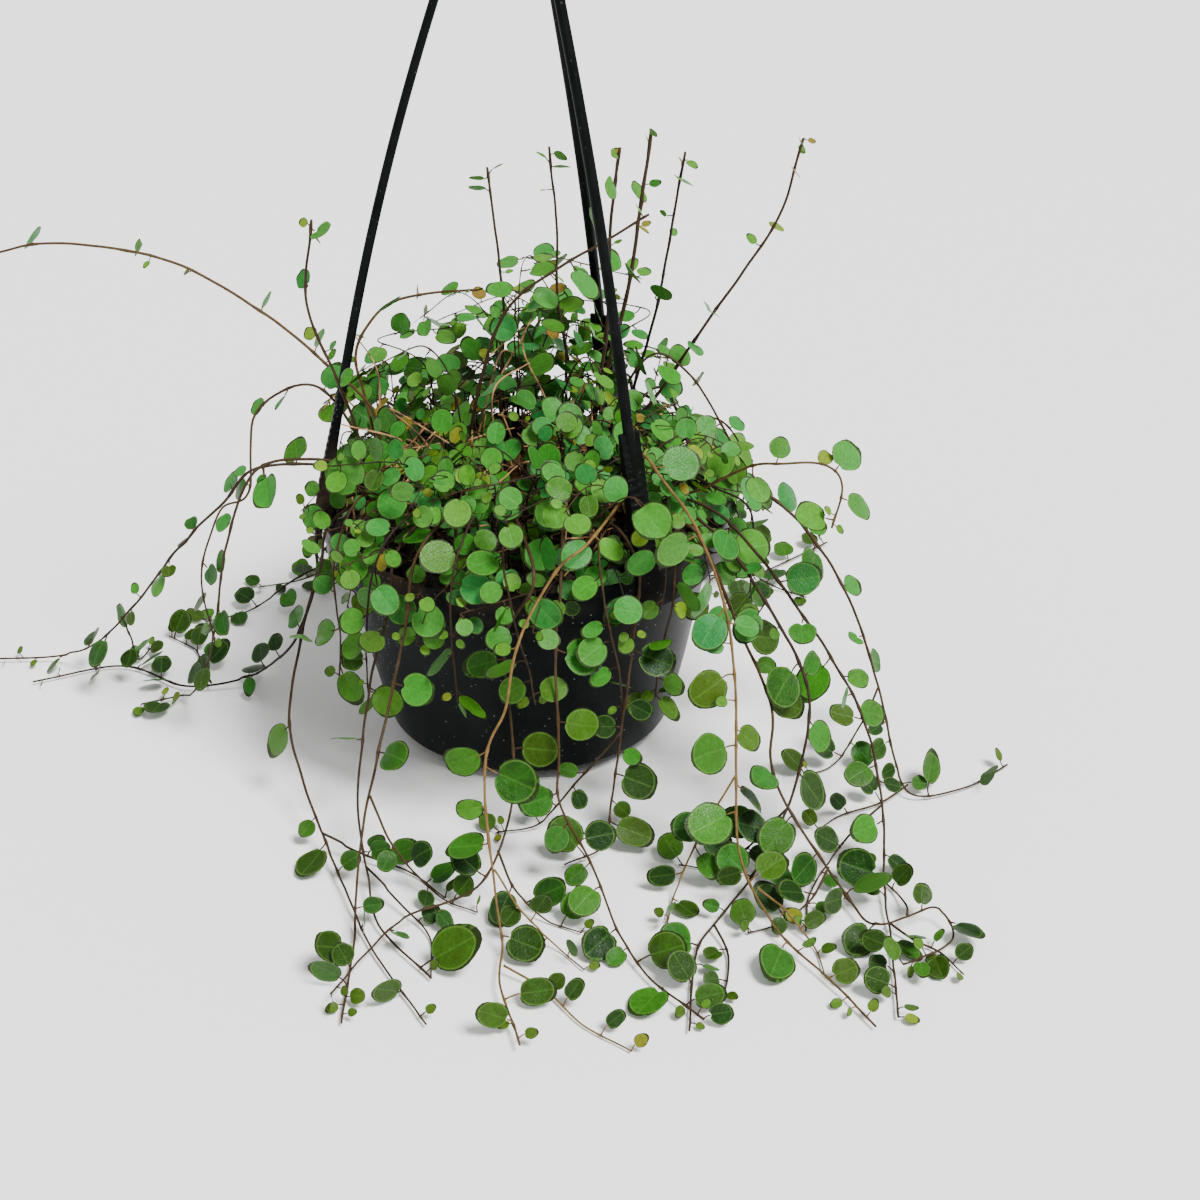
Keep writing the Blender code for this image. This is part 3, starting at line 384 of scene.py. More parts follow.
def make_normals_outward(piece: Piece, weld: float = 1e-6) -> None:
    """Merges a mesh's doubled points and turns its faces outwards.

    Args:
        piece: the object.
        weld: how close points are that become one.
    """
    select_vertices(piece, lambda place: True)
    bpy.ops.mesh.remove_doubles(threshold=weld)
    bpy.ops.mesh.select_all(action="SELECT")
    bpy.ops.mesh.normals_make_consistent(inside=False)
    bpy.ops.object.mode_set(mode="OBJECT")


def fresh_map(mesh: bpy.types.Mesh) -> bpy.types.MeshUVLoopLayer:
    """Gives a mesh one empty UV map in the place of those that it has.

    Args:
        mesh: the mesh.

    Returns:
        The map's layer.
    """
    while mesh.uv_layers:
        mesh.uv_layers.remove(mesh.uv_layers[0])
    return mesh.uv_layers.new(name=UV_NAME)


def smooth_by_angle(piece: Piece, degrees: float) -> None:
    """Shades a piece smooth, with its edges sharp where they turn more than an angle."""
    activate(piece)
    bpy.ops.object.shade_smooth_by_angle(angle=math.radians(degrees))


def dress(piece: Piece, material: Material, degrees: float) -> Piece:
    """Gives a piece its only material and shades it smooth.

    Args:
        piece: the modelled object.
        material: what it is made of.
        degrees: how much an edge turns that stays sharp.

    Returns:
        The finished piece.
    """
    piece.data.materials.clear()
    piece.data.materials.append(material)
    smooth_by_angle(piece, degrees)
    return piece


def turn_rings(name: str, rings: Sequence[tuple[float, float]], sides: int) -> Piece:
    """Extrudes a filled circle from ring to ring of a turned shape.

    Args:
        name: the object's name.
        rings: the (radius, height) of each ring, from the first closed end to the last.
        sides: how many sides a ring has.

    Returns:
        The closed turned shape.
    """
    deselect_all()
    radius, height = rings[0]
    bpy.ops.mesh.primitive_circle_add(vertices=sides, radius=radius, fill_type="NGON",
                                      location=(0, 0, height))
    piece = bpy.context.object
    piece.name = name
    bpy.ops.object.mode_set(mode="EDIT")
    for (old, low), (new, high) in zip(rings, rings[1:]):
        bpy.ops.mesh.extrude_region_move(TRANSFORM_OT_translate={"value": (0, 0, high - low)})
        bpy.ops.transform.resize(value=(new / old, new / old, 1), center_override=(0, 0, high))
    bpy.ops.mesh.select_all(action="SELECT")
    bpy.ops.mesh.normals_make_consistent(inside=False)
    bpy.ops.object.mode_set(mode="OBJECT")
    settle(piece)
    return piece


def cut_plate(name: str, outline: Sequence[Sequence[float]], thickness: float) -> Piece:
    """Makes a plate from a flat outline in the XY plane.

    Args:
        name: the object's name.
        outline: its corners in order.
        thickness: along Z, half to each side.

    Returns:
        The closed plate as a mesh.
    """
    deselect_all()
    bpy.ops.object.add(type="CURVE")
    plate = bpy.context.object
    plate.name = name
    curve = plate.data
    curve.dimensions = "2D"
    curve.fill_mode = "BOTH"
    curve.extrude = thickness / 2
    spline = curve.splines.new("POLY")
    spline.points.add(len(outline) - 1)
    for point, place in zip(spline.points, outline):
        point.co = (*place, 0.0, 1.0)
    spline.use_cyclic_u = True
    bpy.ops.object.convert(target="MESH")
    make_normals_outward(plate)
    return plate


def unite(piece: Piece, others: Sequence[Piece], operation: str = "UNION") -> None:
    """Adds other closed shapes to a piece, or cuts them out of it, and removes them.

    Args:
        piece: the object that stays.
        others: the shapes that go.
        operation: UNION or DIFFERENCE.
    """
    tool = fuse(list(others), "tool_shape")
    apply_modifier(piece, "BOOLEAN", operation=operation, solver="EXACT", object=tool,
                   use_self=True)
    bpy.data.objects.remove(tool, do_unlink=True)


# Finishes


def linear(colour: str) -> tuple[float, float, float, float]:
    """Turns an sRGB hex colour to the linear values that shaders take.

    Args:
        colour: such as "#4f9a35".

    Returns:
        Red, green and blue in linear light, and an alpha of 1.
    """
    channels = [int(colour[i : i + 2], 16) / 255 for i in (1, 3, 5)]
    values = [c / 12.92 if c <= 0.04045 else ((c + 0.055) / 1.055) ** 2.4 for c in channels]
    return values[0], values[1], values[2], 1.0


class Finish:
    """A material under construction: one shader with a tree of nodes that feeds it."""

    def __init__(self, name: str) -> None:
        """Starts a material with only its shader and its output.

        Args:
            name: the material's name.
        """
        self.material = bpy.data.materials.new(name)
        self.material.use_nodes = True
        self.tree = self.material.node_tree
        self.shader = self.tree.nodes["Principled BSDF"]

    def add(self, kind: str, *values: object, links: dict[int, object] | None = None,
            **named: object) -> bpy.types.NodeOutputs:
        """Adds one node. A MapRange takes its value, the range that it is in and its new range.

        Args:
            kind: the node's type without its ShaderNode prefix.
            values: what its first inputs get, a value or the socket that feeds each.
            links: what more inputs get, by number.
            named: its properties in small letters, with "stops" for a ramp's (place, colour)
                pairs, and what more inputs get, by name.

        Returns:
            The node's outputs, to be taken by name or number.
        """
        node = self.tree.nodes.new("ShaderNode" + kind)
        for i, (place, colour) in enumerate(named.pop("stops", ())):
            stop = node.color_ramp.elements[i] if i < 2 else node.color_ramp.elements.new(place)
            stop.position, stop.color = place, colour
        for name in [name for name in named if name.islower()]:
            setattr(node, name, named.pop(name))
        for name, value in {**dict(enumerate(values)), **(links or {}), **named}.items():
            self.plug(node.inputs[name], value)
        return node.outputs

    def plug(self, socket: bpy.types.NodeSocket, value: object) -> None:
        """Gives an input its value.

        Args:
            socket: the input.
            value: a plain value, or the socket that feeds it.
        """
        if isinstance(value, bpy.types.NodeSocket):
            self.tree.links.new(value, socket)
        else:
            socket.default_value = value

    def finish(self, **inputs: object) -> Material:
        """Sets the shader's inputs.

        Args:
            inputs: each input's name with underscores for blanks, and its value or socket.

        Returns:
            The finished material.
        """
        for name, value in inputs.items():
            self.plug(self.shader.inputs[name.replace("_", " ")], value)
        return self.material


@dataclass(frozen=True)
class LeafTissue:
    """A living leaf of a wire vine: thin, waxy on top and paler below, with a fine net of veins.

    It gives the eye a soft satin sheen, a light rim and a pale midrib. The vertex colour "tone"
    holds how young the leaf is in red, how dark in green and how blue in blue. The dark in green is
    painted shade that deepens on low leaves, with chance differences of real tone. Veins, rim and
    margin are placed by shares of the leaf's length, and drawn a little coarser than real ones.
    """

    name: str = "wire_vine_leaf_tissue"
    grown: str = "#327e18"
    bluish: str = "#227a38"
    dark: str = "#0e2c03"
    young: str = "#6a8a1a"
    bronze: str = "#7d4c1c"
    underside: str = "#3a641f"
    vein: str = "#5f9438"
    rim: str = "#6f9c40"
    margin: str = "#161b07"
    roughness: float = 0.32
    sheen: float = 0.14
    side_veins: float = 4.5
    vein_slant: float = -0.55
    vein_share: float = 0.16
    net_cells: float = 16.0
    net_line: float = 0.12
    blotch: float = 9 * MM
    grain: float = 1.6 * MM
    lit: float = 0.22
    pallor: float = 0.6
    relief: float = 0.2 * MM

    def material(self) -> Material:
        """Builds the leaf material.

        Returns:
            The finished material.
        """
        f = Finish(self.name)
        tone = f.add("SeparateColor", f.add("Attribute", attribute_name="tone")["Color"])
        below = f.add("Attribute", attribute_name="underside")["Fac"]
        place = f.add("UVMap", uv_map=UV_NAME)["UV"]
        along = f.add("SeparateXYZ", place)
        side = f.add("Math", along["Y"], 0.5, operation="SUBTRACT")[0]
        side = f.add("Math", side, operation="ABSOLUTE")[0]
        middle = f.add("Math", along["X"], 0.5, operation="SUBTRACT")[0]
        away = f.add("CombineXYZ", middle, side)[0]
        away = f.add("VectorMath", away, operation="LENGTH")["Value"]

        midrib = f.add("MapRange", side, 0.012, 0.035, 1.0, 0.0)[0]
        wave = f.add("Math", side, self.vein_slant, along["X"], operation="MULTIPLY_ADD")[0]
        wave = f.add("Math", wave, 2 * math.pi * self.side_veins, operation="MULTIPLY")[0]
        wave = f.add("Math", wave, operation="SINE")[0]
        ribs = f.add("MapRange", wave, 0.9, 1.0, 0.0, 0.4)[0]
        veins = f.add("Math", midrib, ribs, operation="MAXIMUM")[0]
        net = f.add("TexVoronoi", place, Scale=self.net_cells, feature="DISTANCE_TO_EDGE")
        net = f.add("MapRange", net["Distance"], 0.0, self.net_line)[0]

        spots = f.add("TexCoord")["Object"]
        blotch = f.add("TexNoise", spots, Scale=1 / self.blotch, Detail=3.0)["Fac"]
        grain = f.add("TexNoise", spots, Scale=1 / self.grain, Detail=2.0)["Fac"]

        # Painted shade: tone's green darkens low leaves; the blotches are real differences of tone.
        blotch_and_shade = f.add("Math", blotch, 0.5, tone["Green"], operation="MULTIPLY_ADD")[0]
        blotch_and_shade = f.add("Math", blotch_and_shade, self.lit, operation="SUBTRACT", use_clamp=True)[0]
        ramp = ((0.0, (0, 0, 0, 1)), (0.75, (1, 1, 1, 1)))
        youth = f.add("ValToRGB", tone["Red"], stops=ramp)["Color"]
        tip = f.add("MapRange", tone["Red"], 0.78, 1.0)[0]
        faint = f.add("Math", veins, self.vein_share, operation="MULTIPLY")[0]
        rim = f.add("MapRange", away, 0.42, 0.45, 0.0, 0.3)[0]
        margin = f.add("MapRange", away, 0.45, 0.48, 0.0, 0.9)[0]
        colour = linear(self.grown)
        for share, over in (
            (tone["Blue"], self.bluish), (blotch_and_shade, self.dark), (youth, self.young),
            (tip, self.bronze), (faint, self.vein), (rim, self.rim), (margin, self.margin),
        ):
            layer = {UNDER: colour, OVER: linear(over)}
            colour = f.add("Mix", share, links=layer, data_type="RGBA")[MIXED]
        light = f.add("MapRange", grain, 0.3, 0.75, 0.82, 1.16)[0]
        colour = f.add("HueSaturation", Color=colour, Value=light)["Color"]
        pale = f.add("Math", below, self.pallor, operation="MULTIPLY")[0]
        layer = {UNDER: colour, OVER: linear(self.underside)}
        colour = f.add("Mix", pale, links=layer, data_type="RGBA")[MIXED]

        least, most = self.roughness - 0.08, self.roughness + 0.14
        rough = f.add("MapRange", grain, 0.0, 1.0, least, most)[0]
        rough = f.add("Math", below, 0.2, rough, operation="MULTIPLY_ADD")[0]
        relief = f.add("Math", veins, -1.0, net, operation="MULTIPLY_ADD")[0]
        relief = f.add("Math", grain, 0.6, relief, operation="MULTIPLY_ADD")[0]
        bump = f.add("Bump", Strength=0.4, Distance=self.relief, Height=relief)[0]
        return f.finish(Base_Color=colour, Roughness=rough, Specular_IOR_Level=self.sheen,
                        Normal=bump)


@dataclass(frozen=True)
class WiryStem:
    """A wire vine's stem: thin tough bark, dark reddish brown, golden on strong young stems.

    It gives the eye a dull thread with fine streaks. The vertex colour "tone" holds the share of
    the stem's length in red, how golden it is in green and a chance value in blue.
    """

    name: str = "wire_vine_stem_bark"
    bark: str = "#1c1210"
    grey: str = "#231e1c"
    golden: str = "#6f5730"
    tip: str = "#3a2a1c"
    roughness: float = 0.6
    sheen: float = 0.1
    streak: float = 3 * MM
    band: float = 22 * MM
    relief: float = 0.15 * MM

    def material(self) -> Material:
        """Builds the stem material.

        Returns:
            The finished material.
        """
        f = Finish(self.name)
        tone = f.add("SeparateColor", f.add("Attribute", attribute_name="tone")["Color"])
        spots = f.add("TexCoord")["Object"]
        streak = f.add("TexNoise", spots, Scale=1 / self.streak, Detail=4.0)["Fac"]
        band = f.add("TexNoise", spots, Scale=1 / self.band, Detail=1.0)["Fac"]
        weathered = f.add("MapRange", band, 0.45, 0.65)[0]
        fresh = f.add("MapRange", tone["Red"], 0.7, 1.0, 0.0, 0.8)[0]
        colour = linear(self.bark)
        for share, over in (
            (weathered, self.grey), (tone["Green"], self.golden), (fresh, self.tip),
        ):
            layer = {UNDER: colour, OVER: linear(over)}
            colour = f.add("Mix", share, links=layer, data_type="RGBA")[MIXED]
        light = f.add("MapRange", streak, 0.3, 0.7, 0.7, 1.3)[0]
        colour = f.add("HueSaturation", Color=colour, Value=light)["Color"]
        bump = f.add("Bump", Strength=0.5, Distance=self.relief, Height=streak)[0]
        return f.finish(Base_Color=colour, Roughness=self.roughness,
                        Specular_IOR_Level=self.sheen, Normal=bump)


@dataclass(frozen=True)
class MouldedPlastic:
    """Injection-moulded polypropylene, nearly black, satin, with dust from the nursery bench.

    It gives the eye broad soft highlights, pale dry specks and a brown bloom of dust on the rim.
    Dust gathers between two heights and towards the left. Towards the left edge more pale specks
    are painted highlights of water drops.
    """

    name: str
    colour: str = "#040807"
    dust: str = "#5a4634"
    speck_and_glint: str = "#8b9499"
    roughness: float = 0.31
    sheen: float = 0.045
    dusty_from: float = 100 * MM
    dusty_to: float = 122 * MM
    dusty_right: float = 20 * MM
    dusty_left: float = -90 * MM
    dustiness: float = 0.7
    speckle: float = 0.5
    edge_glints: float = 0.8
    glints_from: float = -58 * MM
    glints_to: float = -70 * MM
    cloud: float = 16 * MM
    speck_pitch: float = 2 * MM
    grain: float = 1.2 * MM
    relief: float = 0.1 * MM

    def material(self) -> Material:
        """Builds the plastic material.

        Returns:
            The finished material.
        """
        f = Finish(self.name)
        spots = f.add("TexCoord")["Object"]
        place = f.add("SeparateXYZ", spots)
        cloud = f.add("TexNoise", spots, Scale=1 / self.cloud, Detail=6.0, Roughness=0.65)["Fac"]
        fine = f.add("TexNoise", spots, Scale=1 / self.grain, Detail=2.0)["Fac"]
        dust = f.add("MapRange", place["Z"], self.dusty_from, self.dusty_to)[0]
        left = f.add("MapRange", place["X"], self.dusty_right, self.dusty_left, 0.15, 1.0)[0]
        patch = f.add("MapRange", cloud, 0.42, 0.62)[0]
        for share in (left, patch, self.dustiness):
            dust = f.add("Math", dust, share, operation="MULTIPLY")[0]

        cells = f.add("TexVoronoi", spots, Scale=1 / self.speck_pitch, feature="F1")
        few = f.add("SeparateColor", cells["Color"])["Red"]
        # Painted highlights of water drops: the pale specks grow denser towards the pot's left
        # edge.
        edge = f.add("MapRange", place["X"], self.glints_from, self.glints_to, 0.0, self.edge_glints)[0]
        few = f.add("Math", few, edge, operation="ADD")[0]
        few = f.add("MapRange", few, 0.86, 0.98)[0]
        specks_and_glints = f.add("MapRange", cells["Distance"], 0.26, 0.14)[0]
        for share in (few, self.speckle):
            specks_and_glints = f.add("Math", specks_and_glints, share, operation="MULTIPLY")[0]

        haze = f.add("MapRange", cloud, 0.3, 0.8, 0.0, 0.02)[0]
        colour = linear(self.colour)
        for share, over in ((haze, self.speck_and_glint), (dust, self.dust), (specks_and_glints, self.speck_and_glint)):
            layer = {UNDER: colour, OVER: linear(over)}
            colour = f.add("Mix", share, links=layer, data_type="RGBA")[MIXED]
        rough = f.add("Math", dust, 0.5, self.roughness, operation="MULTIPLY_ADD")[0]
        rough = f.add("Math", cloud, 0.12, rough, operation="MULTIPLY_ADD", use_clamp=True)[0]
        bump = f.add("Bump", Strength=0.25, Distance=self.relief, Height=fine)[0]
        return f.finish(Base_Color=colour, Roughness=rough, Specular_IOR_Level=self.sheen,
                        Normal=bump)


@dataclass(frozen=True)
class PottingMix:
    """Peat and bark potting mix that has dried on top: crumbly, brown, with paler fibres.

    It gives the eye a matt surface, with painted shade in the gaps between the crumbs and
    painted light on their tops.
    """

    name: str = "peat_potting_mix"
    dark: str = "#0c0806"
    brown: str = "#20160f"
    pale: str = "#4d3a29"
    roughness: float = 0.95
    lump: float = 5 * MM
    crumb: float = 2.2 * MM
    relief: float = 1.2 * MM

    def material(self) -> Material:
        """Builds the soil material.

        Returns:
            The finished material.
        """
        f = Finish(self.name)
        spots = f.add("TexCoord")["Object"]
        lumps = f.add("TexNoise", spots, Scale=1 / self.lump, Detail=8.0, Roughness=0.7)["Fac"]
        crumbs = f.add("TexVoronoi", spots, Scale=1 / self.crumb, feature="F1")["Distance"]
        browns = ((0.32, linear(self.dark)), (0.52, linear(self.brown)), (0.72, linear(self.pale)))
        colour = f.add("ValToRGB", lumps, stops=browns)["Color"]
        # Painted shade: the colour darkens in the gaps between crumbs and lightens on their tops.
        shade = f.add("MapRange", crumbs, 0.1, 0.8, 1.15, 0.55)[0]
        colour = f.add("HueSaturation", Color=colour, Value=shade)["Color"]
        height = f.add("Math", lumps, crumbs, operation="SUBTRACT")[0]
        bump = f.add("Bump", Strength=0.9, Distance=self.relief, Height=height)[0]
        return f.finish(Base_Color=colour, Roughness=self.roughness, Normal=bump)


@dataclass(frozen=True)
class DryMatter:
    """Dead leaves and twigs of the vine: papery and brittle, tan with brown blotches.

    It gives the eye light dull flecks among the green.
    """

    name: str = "dry_leaf_litter"
    tan: str = "#b98f58"
    brown: str = "#513521"
    roughness: float = 0.8
    blotch: float = 7 * MM
    fibre: float = 1.1 * MM
    relief: float = 0.3 * MM

    def material(self) -> Material:
        """Builds the litter material.

        Returns:
            The finished material.
        """
        f = Finish(self.name)
        spots = f.add("TexCoord")["Object"]
        blotch = f.add("TexNoise", spots, Scale=1 / self.blotch, Detail=5.0)["Fac"]
        fibre = f.add("TexNoise", spots, Scale=1 / self.fibre, Detail=2.0)["Fac"]
        browns = ((0.38, linear(self.brown)), (0.6, linear(self.tan)))
        colour = f.add("ValToRGB", blotch, stops=browns)["Color"]
        light = f.add("MapRange", fibre, 0.3, 0.7, 0.75, 1.15)[0]
        colour = f.add("HueSaturation", Color=colour, Value=light)["Color"]
        bump = f.add("Bump", Strength=0.5, Distance=self.relief, Height=fibre)[0]
        return f.finish(Base_Color=colour, Roughness=self.roughness, Normal=bump)


@dataclass(frozen=True)
class PaleTable:
    """A matt white laminate, plain enough to show only the soft shadows of pot and leaves."""

    name: str = "pale_table"
    colour: str = "#fbfbfa"
    roughness: float = 0.7

    def material(self) -> Material:
        """Builds the floor material."""
        return Finish(self.name).finish(Base_Color=linear(self.colour), Roughness=self.roughness)


# Pot, soil and hanger


@dataclass
class Pot:
    """The moulded pot: a collar over a stepped body that narrows to a flat base with drains."""

    rim_radius: float = 100 * MM
    height: float = 120 * MM
    wall: float = 1.6 * MM
    collar_foot_radius: float = 98.5 * MM
    collar_foot: float = 100 * MM
    neck_radius: float = 91 * MM
    neck_height: float = 98 * MM
    waist_radius: float = 80 * MM
    waist_height: float = 40 * MM
    heel_radius: float = 76 * MM
    heel_height: float = 22 * MM
    foot_radius: float = 72 * MM
    foot_height: float = 7 * MM
    base_radius: float = 62 * MM
    cad_steps: int = 30
    sides: int = 128
    drain_holes: int = 6
    drain_radius: float = 5 * MM
    drain_ring: float = 40 * MM
    drill_length: float = 10 * MM
    round_edge: float = 0.7 * MM
    smooth_below: float = 35

    def outside(self) -> list[tuple[float, float]]:
        """Lists the outer side, from the rim down to the edge of the base.

        Returns:
            Its (radius, height) pairs.
        """
        return [
            (self.rim_radius, self.height),
            (self.collar_foot_radius, self.collar_foot),
            (self.neck_radius, self.neck_height),
            (self.waist_radius, self.waist_height),
            (self.heel_radius, self.heel_height),
            (self.foot_radius, self.foot_height),
            (self.base_radius, 0.0),
        ]

    def obstacle(self) -> BVHTree:
        """Lays the rim and the outer side for clearance tests, 1 mm larger than they are.

        Returns:
            The surface.
        """
        outside = [(radius + MM, height) for radius, height in self.outside()]
        inner = self.rim_radius - 3 * MM
        lip = [(inner, self.height - 10 * MM), (inner, self.height + MM)]
        return turned_proxy([*lip, (self.rim_radius + MM, self.height + MM), *outside])

    def build(self, plastic: Material) -> Piece:
        """Turns the pot's wall, rounds its edges and cuts its drain holes.

        Args:
            plastic: the pot's material.

        Returns:
            The finished pot.
        """
        lip = [
            (self.rim_radius - 0.1 * MM, self.height - 1.2 * MM),
            (self.rim_radius - 0.4 * MM, self.height - 0.3 * MM),
            (self.rim_radius - 0.8 * MM, self.height),
            (self.rim_radius - self.wall + 0.2 * MM, self.height - 0.3 * MM),
        ]
        inside = [(radius - self.wall, height) for radius, height in self.outside()[1:5]
                  if height != self.waist_height]
        floor = [(self.base_radius - self.wall, self.wall)]
        rings = [*reversed(self.outside()[1:]), *lip, *inside, *floor]
        pot = turn_rings("pot_moulded", rings, self.sides)
        round_edges(pot, self.round_edge, 18)
        holes = []
        for i in range(self.drain_holes):
            deselect_all()
            centre = polar(360 * (i + 0.5) / self.drain_holes, self.drain_ring / MM, 0)
            bpy.ops.mesh.primitive_cylinder_add(vertices=24, radius=self.drain_radius,
                                                depth=self.drill_length, location=centre)
            settle(bpy.context.object)
            holes.append(bpy.context.object)
        unite(pot, holes, "DIFFERENCE")
        return dress(pot, plastic, self.smooth_below)


@dataclass
class SoilBed:
    """The potting mix that fills the pot: a low mound with a crumbly top."""

    pot: Pot
    edge_height: float = 104 * MM
    crown: float = 20 * MM
    relief: float = 2.5 * MM
    crumb_pitch: float = 14 * MM
    sides: int = 96
    rings: int = 22
    grit: float = 1.1 * MM
    grit_pitch: float = 3.4 * MM
    crumbs: int = 320
    crumb_models: int = 4
    crumb_sizes: tuple[float, float] = (0.9, 2.6)
    crumb_turn: float = 2.4
    smooth_below: float = 50

    def height(self, x: float, y: float) -> float:
        """Finds the height of the mound, as its solid has it.

        Args:
            x: the place along X.
            y: the place along Y.

        Returns:
            The height.
        """
        share = min(1.0, math.hypot(x, y) / self.pot.neck_radius)
        mound = self.edge_height + self.crown * (1 - share**2)
        crumbs = noise.noise(Vector((x, y, 0.0)) / self.crumb_pitch) * self.relief
        return mound + crumbs * (1 - share**6)

    def place(self, azimuth: float, radius: float, above: float = 0.0) -> Vector:
        """Finds a point over the mound.

        Args:
            azimuth: degrees round the pot's axis.
            radius: mm from the axis.
            above: how far over the mound.

        Returns:
            The point.
        """
        point = polar(azimuth, radius, 0)
        point.z = self.height(point.x, point.y) + above
        return point

    def obstacle(self) -> BVHTree:
        """The top of the mound for clearance tests."""
        crown = (0.0, self.edge_height + self.crown + 2 * MM)
        return turned_proxy([crown, (95 * MM, self.edge_height + 3 * MM)])

    def crumb(self, rng: Chance) -> Piece:
        """Models one lump of soil.

        Args:
            rng: the soil's own chance, which roughens it.

        Returns:
            The lump, with a radius of about 1, to be scaled.
        """
        deselect_all()
        bpy.ops.mesh.primitive_ico_sphere_add(subdivisions=1, radius=1.0)
        lump = bpy.context.object
        bpy.ops.object.mode_set(mode="EDIT")
        bpy.ops.transform.vertex_random(offset=0.35, seed=rng.randrange(1000))
        bpy.ops.transform.resize(value=(1.0, rng.uniform(0.6, 0.9), rng.uniform(0.45, 0.75)))
        bpy.ops.object.mode_set(mode="OBJECT")
        return lump

    def scatter_crumbs(self, rng: Chance) -> list[Piece]:
        """Copies a few lumps of soil all over the mound.

        Args:
            rng: the soil's own chance.

        Returns:
            The lumps.
        """
        models = [self.crumb(rng) for _ in range(self.crumb_models)]
        lumps = []
        for i in range(self.crumbs):
            radius = (self.pot.neck_radius - 4 * MM) * math.sqrt(rng.random())
            x, y = radius * math.cos(i * self.crumb_turn), radius * math.sin(i * self.crumb_turn)
            size = rng.uniform(*self.crumb_sizes) * MM
            turn = Matrix.Rotation(rng.uniform(0, 6.28), 4, "Z")
            turn = turn @ Matrix.Rotation(rng.uniform(-0.6, 0.6), 4, "X")
            place = Matrix.Translation((x, y, self.height(x, y) + 0.3 * size))
            model = models[i % self.crumb_models]
            lump = model.copy()
            lump.data = model.data.copy()
            lump.data.transform(place @ turn @ Matrix.Scale(size, 4))
            bpy.context.scene.collection.objects.link(lump)
            lumps.append(lump)
        for model in models:
            bpy.data.objects.remove(model, do_unlink=True)
        return lumps

    def build(self, soil: Material) -> Piece:
        """Turns the filling, roughens its top and scatters lumps over it.

        Args:
            soil: the potting mix's material.

        Returns:
            The finished soil.
        """
        pot = self.pot
        shrink = pot.wall + 1.4 * GAP
        side = [
            (pot.base_radius - shrink, pot.wall + GAP),
            (pot.heel_radius - shrink, pot.heel_height),
            (pot.neck_radius - shrink, pot.neck_height),
            (pot.collar_foot_radius - shrink, pot.collar_foot + GAP),
        ]
        outer = 0.97 * pot.neck_radius
        top = [(outer * (1 - i / self.rings) + 0.4 * MM, pot.height) for i in range(self.rings)]
        bed = turn_rings("soil_bed", [*side, *top], self.sides)
        for vertex in bed.data.vertices:
            if vertex.co.z > pot.height - MM:
                x, y = vertex.co.x, vertex.co.y
                rough = noise.noise(Vector((x, y, 0.3)) / self.grit_pitch) * self.grit
                vertex.co.z = self.height(x, y) + rough
        lumps = self.scatter_crumbs(random.Random(f"{SEED} soil"))
        return dress(fuse([bed, *lumps], "soil_bed"), soil, self.smooth_below)


